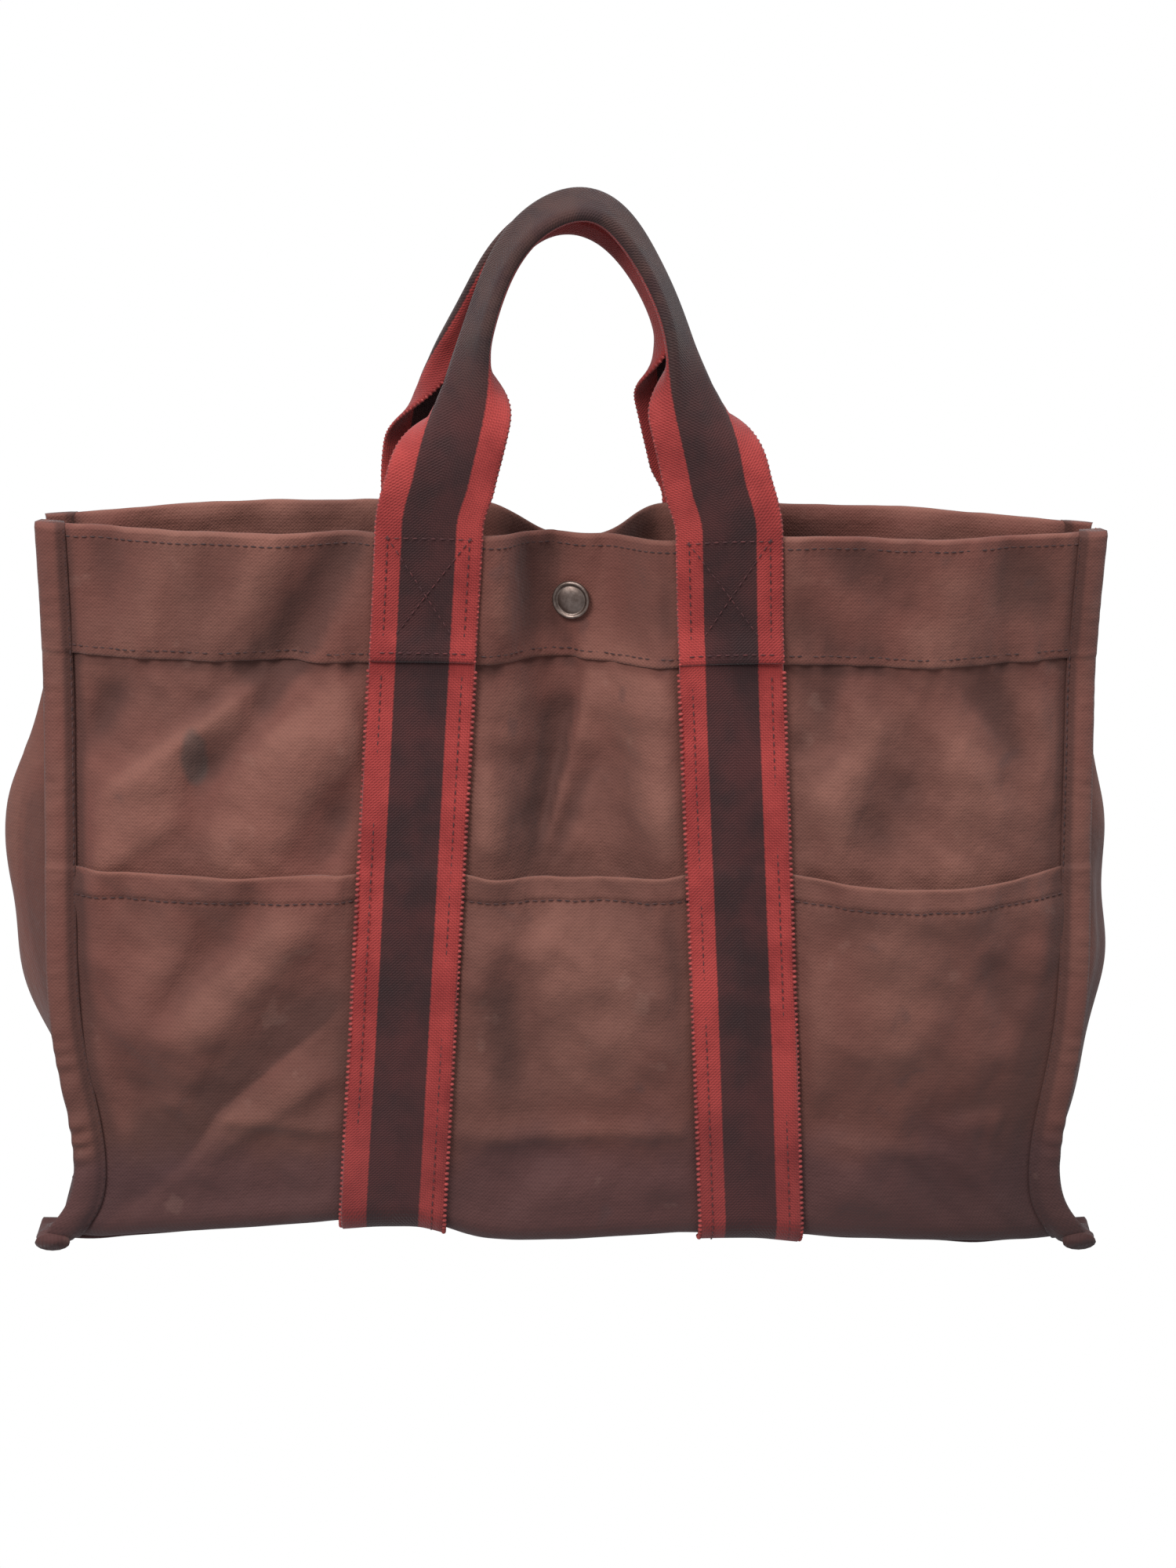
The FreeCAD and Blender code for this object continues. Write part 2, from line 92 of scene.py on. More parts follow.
def ridge_profile(value, middle, width):
    """A soft bump of height 1."""
    return np.exp(-((value - middle) / width) ** 2)


# ---- folds -----------------------------------------------------------------------------
# A fold runs between two places on the wall, in millimetres from the middle and the
# ground: x0, z0, x1, z1, half width, height outwards (negative for a valley), and how
# much steeper it is on its left side than on its right.

FRONT_FOLDS = [
    # left of the left webbing: pulled down and out from the handle
    (-84, 268, -112, 222, 9, -3.2, 0.5), (-92, 246, -120, 205, 8, -2.6, 0.4),
    (-108, 270, -136, 232, 11, 2.2, -0.3), (-150, 262, -168, 226, 12, 1.5, 0.2),
    (-120, 214, -176, 172, 9, 4.4, -0.5), (-104, 212, -150, 176, 11, -3.4, 0.3),
    (-86, 206, -128, 148, 17, 4.2, 0.3), (-84, 176, -100, 142, 8, -2.6, 0.4),
    (-172, 214, -190, 188, 9, -2.6, 0.2), (-150, 166, -186, 142, 9, 1.9, 0.4),
    (-186, 258, -188, 226, 7, 1.0, 0), (-139, 190, -146, 158, 6, -1.4, 0),
    # between the webbing: drawn in at the snap
    (-27, 270, -26, 232, 6, 3.4, 0.4), (-18, 268, -14, 236, 5, -3.8, 0.2),
    (-8.5, 272, -7, 238, 2.6, -2.4, 0.7), (-5, 238, 1, 216, 5, -3.0, 0.4),
    (10, 232, 20, 200, 11, 2.6, 0.2), (2, 214, -14, 150, 6, -5.0, 0.6),
    (-26, 214, -30, 160, 11, 2.6, 0.2), (24, 214, 30, 160, 14, 3.2, -0.4),
    (33, 268, 36, 232, 6, -2.2, -0.3), (14, 268, 12, 238, 9, 1.6, 0),
    (-34, 190, -20, 182, 5, -1.2, 0), (6, 180, -6, 148, 5, -2.0, 0.3),
    # right of the right webbing
    (86, 266, 134, 244, 8, -3.0, -0.4), (82, 246, 108, 226, 9, -2.2, 0.2),
    (98, 218, 96, 186, 11, -3.0, 0.4), (118, 206, 104, 168, 13, 2.8, 0.2),
    (152, 212, 178, 182, 10, -2.4, -0.4), (168, 256, 184, 246, 9, -1.8, 0),
    (140, 200, 168, 160, 13, 2.0, 0.3), (126, 252, 160, 262, 10, 1.6, 0),
    (178, 214, 184, 160, 7, 1.4, 0), (84, 196, 84, 160, 7, -1.6, 0.3),
]
FRONT_POCKET_FOLDS = [
    (-92, 94, -148, 46, 7, -5.6, 0.6), (-148, 46, -182, 22, 9, -4.2, 0.5),
    (-104, 126, -150, 80, 11, 3.6, 0.3), (-122, 128, -168, 84, 9, -2.4, 0.3),
    (-150, 120, -184, 66, 12, 2.6, 0.2), (-174, 44, -178, 34, 6, -3.0, 0),
    (-100, 64, -140, 38, 9, 2.6, 0.4), (-186, 92, -172, 52, 8, -2.6, -0.3),
    (-190, 60, -84, 42, 3.6, 1.5, 0), (-84, 90, -88, 60, 7, -2.0, 0.3),
    (-30, 104, -26, 60, 10, -3.0, -0.3), (4, 116, 10, 70, 20, 4.2, 0.1),
    (-46, 44, 52, 46, 4.0, 1.6, 0.2), (36, 126, 42, 92, 7, -2.6, -0.4),
    (-20, 24, 30, 28, 9, 1.4, 0), (-6, 134, -14, 110, 7, 1.2, 0),
    (92, 118, 96, 60, 9, 1.6, 0), (124, 124, 130, 70, 18, 2.6, 0.2),
    (150, 54, 178, 58, 6, -2.4, 0.3), (184, 76, 182, 26, 9, -4.6, -0.4),
    (92, 44, 150, 38, 4, 1.4, 0), (136, 34, 160, 20, 8, -2.0, 0.2),
    (160, 110, 178, 84, 10, -2.0, -0.3), (106, 30, 132, 14, 8, 1.5, 0),
]
BACK_FOLDS = [
    (-86, 262, -122, 214, 10, -2.8, 0.4), (-100, 240, -160, 190, 13, 3.2, -0.3),
    (-24, 268, -20, 226, 6, 3.0, 0.3), (-12, 266, -6, 214, 5, -3.2, 0.3),
    (12, 262, 26, 204, 10, 2.8, 0.2), (0, 212, 10, 152, 7, -3.8, 0.3),
    (84, 258, 118, 216, 9, -2.8, -0.4), (104, 232, 150, 176, 13, 3.4, 0.2),
    (150, 252, 170, 224, 10, 1.8, 0), (-150, 220, -176, 168, 11, 2.6, 0.3),
    (160, 212, 182, 172, 9, -2.4, 0.2), (-184, 210, -180, 160, 8, -2.0, 0),
]
BACK_POCKET_FOLDS = [
    (96, 112, 150, 58, 11, -4.0, -0.5), (104, 128, 160, 84, 12, 3.4, 0.3),
    (160, 52, 184, 24, 9, -3.6, 0.4), (-30, 112, -22, 60, 11, -2.6, 0.3),
    (0, 118, 6, 66, 20, 3.8, 0), (-96, 110, -140, 60, 12, 3.0, 0.3),
    (-120, 70, -176, 34, 9, -3.8, 0.5), (-50, 44, 56, 42, 4, 1.5, 0),
    (84, 40, 150, 46, 4, 1.4, 0), (-170, 46, -86, 40, 4, 1.4, 0),
]


def fold_field(folds, x, z):
    """Outward displacement of all the folds of a list at places x, z."""
    total = np.zeros(np.broadcast(x, z).shape)
    for x0, z0, x1, z1, width, height, skew in folds:
        run, rise = (x1 - x0) / 1000, (z1 - z0) / 1000
        length = math.hypot(run, rise)
        along = ((x - x0 / 1000) * run + (z - z0 / 1000) * rise) / length ** 2
        across = ((x - x0 / 1000) * rise - (z - z0 / 1000) * run) / length
        if rise > 0:
            across = -across
        reach = np.where(across > 0, 1 + skew, 1 - skew) * width / 1000
        beyond = np.maximum(np.abs(along - 0.5) - 0.28, 0) * length / (0.22 * length + width / 1000)
        total += 1.35 * height / 1000 * np.exp(-(across / reach) ** 2 - (1.35 * beyond) ** 2)
    return total


def ripple(x, z, seed, size=0.001, shortest=0.018, longest=0.09):
    """Small uneven waves in the cloth, as a sum of crossing waves."""
    pick = np.random.RandomState(seed)
    total = np.zeros(np.broadcast(x, z).shape)
    for _ in range(14):
        wave = shortest * (longest / shortest) ** pick.rand()
        angle, phase = pick.rand() * math.pi, pick.rand() * 2 * math.pi
        swing = size * (wave / longest) ** 0.8
        total += swing * np.sin((x * math.cos(angle) + z * math.sin(angle)) * 2 * math.pi / wave + phase)
    return total * 0.6


def pucker(along, away, seed, size=0.0005, reach=0.009):
    """Little gathers that a line of stitches makes, fading away from the line."""
    pick = np.random.RandomState(seed)
    wave = np.zeros(np.broadcast(along, away).shape)
    for length in (0.007, 0.0097, 0.0131, 0.021):
        wave += np.sin(along * 2 * math.pi / length + pick.rand() * 6.3 + away * 60)
    return size * wave * np.exp(-(away / reach) ** 2)


# ---- the shape of a wall ---------------------------------------------------------------

class Wall:
    """The front wall, or the back one turned round. Places on it are x, a height v along
    the cloth, and a distance out from the inner face of the canvas."""

    def __init__(self, name, lobe, folds, pocket_folds, bulges, sags, seed, droop, hem):
        self.name = name
        self.body = name + "_wall"
        self.turn = 1 if name == "front" else -1
        self.lobe = lobe
        self.folds = folds
        self.pocket_folds = pocket_folds
        self.bulges = bulges
        self.sags = sags
        self.seed = seed
        self.droop = droop
        self.hem = hem

    def mouth_depth(self, x):
        """Distance of the top band from the middle plane."""
        side = np.abs(x)
        centre = SNAP_HALF_GAP + (self.lobe - SNAP_HALF_GAP) * ramp(SNAP_FLAT, 0.036, side)
        share = np.clip((HALF - side) / (HALF - 0.082), 0, 1)
        lobe = CORNER_DEPTH + (self.lobe - CORNER_DEPTH) * share + 0.024 * share * (1 - share)
        return np.where(share < 1, lobe, centre)

    def web_middle(self, v):
        """Middle of the webbing at a height."""
        return WEB_BASE_X - (WEB_BASE_X - WEB_TOP_X) * v / BAG_TOP

    def stiff(self, x, v):
        """1 where the webbing holds the cloth flat, 0 away from it."""
        return 1 - ramp(WEB_WIDTH * 0.42, WEB_WIDTH * 0.72, np.abs(np.abs(x) - self.web_middle(v)))

    def relief(self, x, v):
        """Folds and small waves, outwards."""
        free = 1 - 0.93 * self.stiff(x, v)
        edge = 1 - 0.85 * ramp(PANEL_HALF - 0.012, PANEL_HALF, np.abs(x))
        low = ramp(0.0, 0.02, v)
        height = fold_field(self.folds, x, v) + ripple(x, v, self.seed, 0.0011)
        height += pucker(x, v - BAND_LOW - 0.003, self.seed + 1, 0.00022, 0.012)
        height += ripple(x, v, self.seed + 2, 0.00022, 0.008, 0.022)
        near = np.exp(-((x - SNAP_SHIFT) ** 2 + (v - SNAP_Z - 0.004) ** 2) / 0.0115 ** 2)
        slope = SNAP_TURN * np.clip(x - SNAP_SHIFT, -0.011, 0.011)
        below_band = 1 - ramp(BAND_LOW - 0.02, BAND_LOW + 0.02, v)
        groove = 0.0016 * ridge_profile(np.abs(x), PANEL_HALF - 0.001, 0.0055) * below_band
        height = height * (1 - near) + slope * near * (self.turn > 0)
        return height * free * edge * low - groove

    def base_line(self, x):
        """Height of the bottom edge, which sags between the straps that hold it."""
        fine = np.arange(-0.24, 0.24, 0.001)
        across, height = np.array(self.hem, float).T / 1000
        level = np.interp(fine, across, height)
        soft = np.hanning(19)
        level = np.convolve(np.pad(level, 9, mode="edge"), soft / soft.sum(), mode="valid")
        return np.interp(x, fine, level)

    def place(self, x, v, out):
        """Points in the row frame."""
        x, v, out = np.broadcast_arrays(np.asarray(x, float), np.asarray(v, float), np.asarray(out, float))
        side = np.abs(x)
        corner = CLOTH_GROUND + BOTTOM_ROUND
        bend = np.clip((corner - v) / BOTTOM_ROUND, 0, math.pi / 2)
        beyond = np.maximum((corner - v) / BOTTOM_ROUND - math.pi / 2, 0) * BOTTOM_ROUND
        upright = np.maximum(v, corner)
        share = (upright - CLOTH_GROUND) / (BAND_LOW - CLOTH_GROUND)
        share = 1 - np.logaddexp(0, (1 - share) * 26) / 26
        share = np.clip(share, 0, 1)
        depth = BASE_HALF_DEPTH * (1 - share) + self.mouth_depth(x) * share
        depth = depth - BOTTOM_ROUND * (1 - np.cos(bend)) - beyond
        height = upright - BOTTOM_ROUND * np.sin(bend)
        push = out + self.relief(x, v) * np.cos(bend)
        lean = 0.22 * (1 - ramp(BAND_LOW - 0.03, BAND_LOW + 0.02, v))
        depth = depth + push * np.cos(bend) * math.cos(0.22)
        height = height - push * np.sin(bend) + push * np.cos(bend) * np.sin(lean) * 0.6
        # the mouth droops at the snap and the corners, and the flange is drawn in low down
        height = height - self.droop(x) * ramp(0.12, BAG_TOP, v)
        height = height + self.base_line(x) * (1 - ramp(0.0, 0.09, v))
        pinch = 0.0102 * ridge_profile(v, 0.031, 0.039) - 0.0092 * ridge_profile(v, 0.0, 0.013)
        across = x - np.sign(x) * pinch * ramp(0.12, PANEL_HALF - 0.004, side)
        return np.stack([self.turn * across, -self.turn * depth, height], axis=-1)


def front_droop(x):
    return 0.0042 * ridge_profile(x, 0.006, 0.034) + 0.0012 * ridge_profile(x, 0.14, 0.03)


def back_droop(x):
    return 0.0065 * ridge_profile(x, 0, 0.022) + 0.0014 * ramp(0.12, 0.2, np.abs(x))


# height of the bottom edge along the wall, both in millimetres
FRONT_HEM = [(-204, -3.0), (-184, -3.5), (-165, -1.8), (-150, -1.0), (-110, 1.5), (-96, 3.0), (-78, 4.4), (-60, 3.8),
             (-50, 0.0), (-38, -5.0), (-22, -6.5), (0, -6.2), (25, -5.0), (45, -3.5), (75, -2.8), (95, -5.2),
             (120, -6.8), (145, -8.0), (165, -8.6), (190, -7.6), (204, -6.6)]
BACK_HEM = [(-204, -3.0), (-160, -3.6), (-110, -1.2), (-78, 0.6), (-50, -1.4), (-10, -4.2), (30, -3.4), (55, -1.0),
            (78, 1.0), (110, -1.0), (160, -3.2), (204, -3.4)]

FRONT = Wall("front", 0.0225, FRONT_FOLDS, FRONT_POCKET_FOLDS,
             (0.0055, 0.010, 0.011), (0.0, 0.0035, 0.0035), 11, front_droop, FRONT_HEM)
BACK = Wall("back", 0.0335, BACK_FOLDS, BACK_POCKET_FOLDS,
            (0.008, 0.009, 0.008), (0.002, 0.003, 0.002), 47, back_droop, BACK_HEM)


def pocket_zone(wall, x, v):
    """0 at the edges of a pocket and 1 in its middle, with its bulge and its sag."""
    inner, outer = wall.web_middle(v) - WEB_WIDTH / 2, wall.web_middle(v) + WEB_WIDTH / 2
    side_share = np.clip((np.abs(x) - outer) / (PANEL_HALF - outer), 0, 1)
    middle_share = np.clip((x + inner) / (2 * inner), 0, 1)
    in_middle = np.abs(x) < inner
    zone = np.where(in_middle, np.sin(math.pi * middle_share), np.sin(math.pi * side_share))
    bulge = np.where(in_middle, wall.bulges[1], np.where(x < 0, wall.bulges[0], wall.bulges[2]))
    sag = np.where(in_middle, wall.sags[1], np.where(x < 0, wall.sags[0], wall.sags[2]))
    return zone, bulge, sag


def pocket_place(wall, x, v, out):
    """Points on the pocket cloth, which stands away from the wall in three places."""
    zone, bulge, sag = pocket_zone(wall, x, v)
    swell = np.clip(v / POCKET_TOP, 0, 1.1)
    free = 1 - wall.stiff(x, v)
    stand = bulge * zone ** 0.8 * swell ** 1.5
    stand = stand + fold_field(wall.pocket_folds, x, v) * np.clip(free, 0, 1) * ramp(0, 0.02, v)
    stand = stand + ripple(x, v, wall.seed + 5, 0.0009) * free * ramp(0, 0.03, v)
    stand = stand + pucker(x, v - POCKET_TOP + 0.0095, wall.seed + 6, 0.00025, 0.007) * free
    stand = stand - 0.0002
    stand = 0.5 * (stand + np.sqrt(stand ** 2 + 0.0009 ** 2)) - 0.0004
    return wall.place(x, v - sag * zone * swell ** 6, out + stand)


# ---- meshes ----------------------------------------------------------------------------

def new_mesh(name, points, faces, material=None, smooth=True):
    """A mesh object from points and faces."""
    mesh = bpy.data.meshes.new(name)
    mesh.from_pydata([tuple(map(float, p)) for p in points], [], [tuple(map(int, f)) for f in faces])
    mesh.update()
    if smooth:
        mesh.shade_smooth()
    piece = bpy.data.objects.new(name, mesh)
    bpy.context.scene.collection.objects.link(piece)
    if material:
        mesh.materials.append(material)
    return piece


def set_uv(piece, across, along):
    """Give each point of a mesh its place on the flat cloth, in metres."""
    mesh = piece.data
    layer = mesh.uv_layers.new(name="cloth")
    corner_points = np.empty(len(mesh.loops), dtype=np.int64)
    mesh.loops.foreach_get("vertex_index", corner_points)
    flat = np.stack([np.ravel(across)[corner_points], np.ravel(along)[corner_points]], axis=1)
    layer.data.foreach_set("uv", flat.astype(np.float32).ravel())


def set_value(piece, name, values):
    """Store a number on each point of a mesh."""
    attribute = piece.data.attributes.new(name, "FLOAT", "POINT")
    attribute.data.foreach_set("value", np.ravel(values).astype(np.float32))


def outward(piece):
    """Turn a closed mesh's faces outwards."""
    import bmesh
    work = bmesh.new()
    work.from_mesh(piece.data)
    bmesh.ops.recalc_face_normals(work, faces=work.faces)
    if work.calc_volume(signed=True) < 0:
        bmesh.ops.reverse_faces(work, faces=work.faces)
    work.to_mesh(piece.data)
    work.free()


def shell(name, us, vs, place, plies, material, wear=None):
    """A sheet of cloth with rounded edges: place(u, v, out) gives its points, and plies
    the distances of its inner and outer face."""
    inner, outer = plies
    middle, swell = (inner + outer) / 2, abs(outer - inner) / 2
    us, vs = np.asarray(us, float), np.asarray(vs, float)
    nu, nv = len(us), len(vs)
    grid_u, grid_v = np.meshgrid(us, vs, indexing="ij")
    sheets, flat_u, flat_v = [], [], []
    for out in (outer, inner):
        sheets.append(place(grid_u, grid_v, np.full_like(grid_u, out)).reshape(-1, 3))
        flat_u.append(grid_u.ravel())
        flat_v.append(grid_v.ravel())
    faces = []
    base = nu * nv
    index = np.arange(nu * nv).reshape(nu, nv)
    a, b, c, d = index[:-1, :-1], index[1:, :-1], index[1:, 1:], index[:-1, 1:]
    quads = np.stack([a, b, c, d], axis=-1).reshape(-1, 4)
    faces.extend(quads.tolist())
    faces.extend((quads[:, ::-1] + base).tolist())
    ring = [(i, 0) for i in range(nu)] + [(nu - 1, j) for j in range(1, nv)]
    ring += [(i, nv - 1) for i in range(nu - 2, -1, -1)] + [(0, j) for j in range(nv - 2, 0, -1)]
    push_u = np.array([(-1 if i == 0 else 1 if i == nu - 1 else 0) for i, _ in ring]) * swell
    push_v = np.array([(-1 if j == 0 else 1 if j == nv - 1 else 0) for _, j in ring]) * swell
    rim_u = np.array([us[i] for i, _ in ring]) + push_u
    rim_v = np.array([vs[j] for _, j in ring]) + push_v
    sheets.append(place(rim_u, rim_v, np.full(len(ring), middle)))
    flat_u.append(rim_u)
    flat_v.append(rim_v)
    rim = 2 * base
    count = len(ring)
    for k in range(count):
        n = (k + 1) % count
        top, top_next = index[ring[k]], index[ring[n]]
        faces.append((top_next, top, rim + k, rim + n))
        faces.append((rim + n, rim + k, base + top, base + top_next))
    piece = new_mesh(name, np.concatenate(sheets), faces, material)
    flat_u, flat_v = np.concatenate(flat_u), np.concatenate(flat_v)
    set_uv(piece, flat_u, flat_v)
    if wear is not None:
        set_value(piece, "wear", wear(flat_u, flat_v))
    outward(piece)
    return piece


def spread(low, high, step):
    """Evenly placed values from low to high."""
    count = max(2, int(round((high - low) / step)) + 1)
    return np.linspace(low, high, count)


# ---- materials -------------------------------------------------------------------------

def srgb(red, green, blue):
    """A colour written as screen values from 0 to 255."""
    def linear(value):
        value = value / 255
        return value / 12.92 if value <= 0.04045 else ((value + 0.055) / 1.055) ** 2.4
    return (linear(red), linear(green), linear(blue), 1.0)


class Nodes:
    """Short hand for building a material's nodes."""

    def __init__(self, name):
        self.material = bpy.data.materials.new(name)
        self.material.use_nodes = True
        self.tree = self.material.node_tree
        self.tree.nodes.clear()
        self.shader = self.tree.nodes.new("ShaderNodeBsdfPrincipled")
        self.output = self.tree.nodes.new("ShaderNodeOutputMaterial")
        self.tree.links.new(self.shader.outputs[0], self.output.inputs[0])

    def put(self, socket, value):
        if hasattr(value, "links"):
            self.tree.links.new(value, socket)
        else:
            socket.default_value = value

    def add(self, kind, inputs=None, **settings):
        node = self.tree.nodes.new(kind)
        for key, value in settings.items():
            setattr(node, key, value)
        for key, value in (inputs or {}).items():
            self.put(node.inputs[key], value)
        return node

    def math(self, operation, a, b=0.0, c=0.0, clamp=False):
        node = self.add("ShaderNodeMath", {0: a, 1: b, 2: c}, operation=operation)
        node.use_clamp = clamp
        return node.outputs[0]

    def mix(self, share, a, b, blend="MIX"):
        node = self.tree.nodes.new("ShaderNodeMix")
        node.data_type = "RGBA"
        node.blend_type = blend
        self.put(node.inputs[0], share)
        self.put(node.inputs[6], a)
        self.put(node.inputs[7], b)
        return node.outputs[2]

    def noise(self, vector, scale, detail=3.0, rough=0.55, seed=0.0):
        node = self.add("ShaderNodeTexNoise", {"Scale": scale, "Detail": detail, "Roughness": rough})
        if seed:
            shift = self.add("ShaderNodeVectorMath", {0: vector, 1: (seed, seed * 0.7, seed * 1.3)})
            vector = shift.outputs[0]
        self.put(node.inputs["Vector"], vector)
        return node.outputs[0]

    def step(self, value, low, high):
        node = self.add("ShaderNodeMapRange", {0: value, 1: low, 2: high}, interpolation_type="SMOOTHSTEP")
        return node.outputs[0]

    def bump(self, height, strength, distance, normal=None):
        node = self.add("ShaderNodeBump", {"Height": height, "Strength": strength, "Distance": distance})
        if normal is not None:
            self.put(node.inputs["Normal"], normal)
        return node.outputs[0]


THREAD_PITCH = 0.00074


def canvas_material():
    """Brown cotton canvas: plain weave, proud folds lightened by rubbing and painted highlight, darker low down and
    in sunk folds from dirt and painted shade.
    """
    n = Nodes("worn_canvas")
    flat = n.add("ShaderNodeUVMap", uv_map="cloth").outputs[0]
    solid = n.add("ShaderNodeTexCoord").outputs["Object"]
    split = n.add("ShaderNodeSeparateXYZ", {0: flat})
    place = n.add("ShaderNodeSeparateXYZ", {0: solid})
    wander = n.noise(flat, 60.0, 2.0)
    turn = math.pi / THREAD_PITCH
    warp = n.math("MULTIPLY_ADD", split.outputs[0], turn, n.math("MULTIPLY", wander, 3.0))
    weft = n.math("MULTIPLY_ADD", split.outputs[1], turn * 1.06, n.math("MULTIPLY", wander, -2.6))
    checker = n.math("MULTIPLY", n.math("SINE", warp), n.math("SINE", weft))
    drawn_out = n.add("ShaderNodeMapping", {"Vector": flat, "Scale": (1.0, 9.0, 1.0)}).outputs[0]
    slub = n.noise(drawn_out, 900.0, 2.0)
    weave = n.math("MULTIPLY_ADD", checker, 0.45, n.math("MULTIPLY", slub, 0.8))
    weave = n.math("MULTIPLY_ADD", n.math("SINE", weft), 0.15, weave)

    broad = n.noise(solid, 9.0, 4.0, 0.6)
    cloudy = n.noise(solid, 34.0, 5.0, 0.62, seed=3.0)
    fine = n.noise(solid, 420.0, 3.0, 0.6, seed=5.0)
    brown = n.mix(n.step(cloudy, 0.34, 0.68), srgb(98, 60, 51), srgb(111, 70, 60))
    red_brown = n.mix(n.step(broad, 0.38, 0.64), brown, srgb(106, 61, 52))
    # rubbing and painted highlight lighten what stands proud; dirt and painted shade darken where the cloth is sunk,
    # in creases and stitch grooves
    wear = n.add("ShaderNodeAttribute", attribute_name="wear").outputs["Fac"]
    # lighter where the cloth stands proud: rubbed cloth and painted highlight
    worn = n.math("MULTIPLY", n.step(wear, 0.0, 1.0), n.math("MULTIPLY_ADD", fine, 0.5, 0.6))
    colour = n.mix(n.math("MULTIPLY", worn, 0.42), red_brown, srgb(146, 98, 84))
    # darker where the cloth is sunk, in creases, stitch grooves and beside the sewn edges: painted shade and dirt
    grime_and_painted_shade = n.step(n.math("MULTIPLY", wear, -1.0), 0.0, 1.0)
    colour = n.mix(n.math("MULTIPLY", grime_and_painted_shade, 0.62), colour, srgb(54, 32, 28))
    # darker further down the cloth, from painted shade of the weaker light there and from dirt; the lowest part has
    # gone plum and dull
    ragged = n.math("MULTIPLY_ADD", n.noise(solid, 26.0, 4.0, 0.6, seed=9.0), 0.05, place.outputs[2])
    lower_shade_and_dirt = n.math("SUBTRACT", 1.0, n.step(ragged, 0.05, 0.19))
    colour = n.mix(n.math("MULTIPLY", lower_shade_and_dirt, 0.42), colour, srgb(70, 42, 36))
    low = n.math("SUBTRACT", 1.0, n.step(ragged, 0.052, 0.078))
    colour = n.mix(n.math("MULTIPLY", low, 0.62), colour, srgb(68, 42, 44))
    # painted shade in the deep hollow low on the right, beside the sewn edge
    rightward = n.step(place.outputs[0], 0.08, 0.17)
    corner = n.math("MULTIPLY", rightward, n.math("SUBTRACT", 1.0, n.step(ragged, 0.03, 0.12)))
    colour = n.mix(n.math("MULTIPLY", corner, 0.45), colour, srgb(44, 26, 24))
    # faint bleached and dark marks
    marks = n.step(n.noise(solid, 62.0, 3.0, 0.5, seed=15.0), 0.66, 0.74)
    colour = n.mix(n.math("MULTIPLY", marks, 0.07), colour, srgb(172, 136, 122))
    spots = n.step(n.noise(solid, 48.0, 2.0, 0.5, seed=21.0), 0.68, 0.75)
    colour = n.mix(n.math("MULTIPLY", spots, 0.28), colour, srgb(66, 50, 50))
    # one old stain on the front, left of the left webbing
    away_x = n.math("DIVIDE", n.math("ADD", place.outputs[0], 0.1455), 0.0052)
    away_z = n.math("DIVIDE", n.math("SUBTRACT", place.outputs[2], 0.1865), 0.0105)
    away = n.math("ADD", n.math("MULTIPLY", away_x, away_x), n.math("MULTIPLY", away_z, away_z))
    away = n.math("ADD", away, n.math("MULTIPLY", n.math("SUBTRACT", cloudy, 0.5), 2.4))
    stain = n.math("SUBTRACT", 1.0, n.step(away, 0.35, 1.25))
    stain = n.math("MULTIPLY", stain, n.math("LESS_THAN", place.outputs[1], 0.0))
    colour = n.mix(n.math("MULTIPLY", stain, 0.6), colour, srgb(66, 58, 54))
    thread_light = n.math("MULTIPLY_ADD", weave, 0.20, 0.90)
    thread_mask = n.add("ShaderNodeCombineColor", {0: thread_light, 1: thread_light, 2: thread_light})
    colour = n.mix(1.0, colour, thread_mask.outputs[0], "MULTIPLY")

    normal = n.bump(n.noise(solid, 46.0, 6.0, 0.62, seed=2.0), 0.55, 0.0035)
    normal = n.bump(weave, 0.42, 0.0003, normal)
    n.put(n.shader.inputs["Base Color"], colour)
    n.put(n.shader.inputs["Roughness"], n.math("MULTIPLY_ADD", cloudy, 0.16, 0.70))
    n.put(n.shader.inputs["Normal"], normal)
    n.shader.inputs["Sheen Weight"].default_value = 0.12
    n.shader.inputs["Sheen Roughness"].default_value = 0.5
    n.shader.inputs["Specular IOR Level"].default_value = 0.28
    return n.material


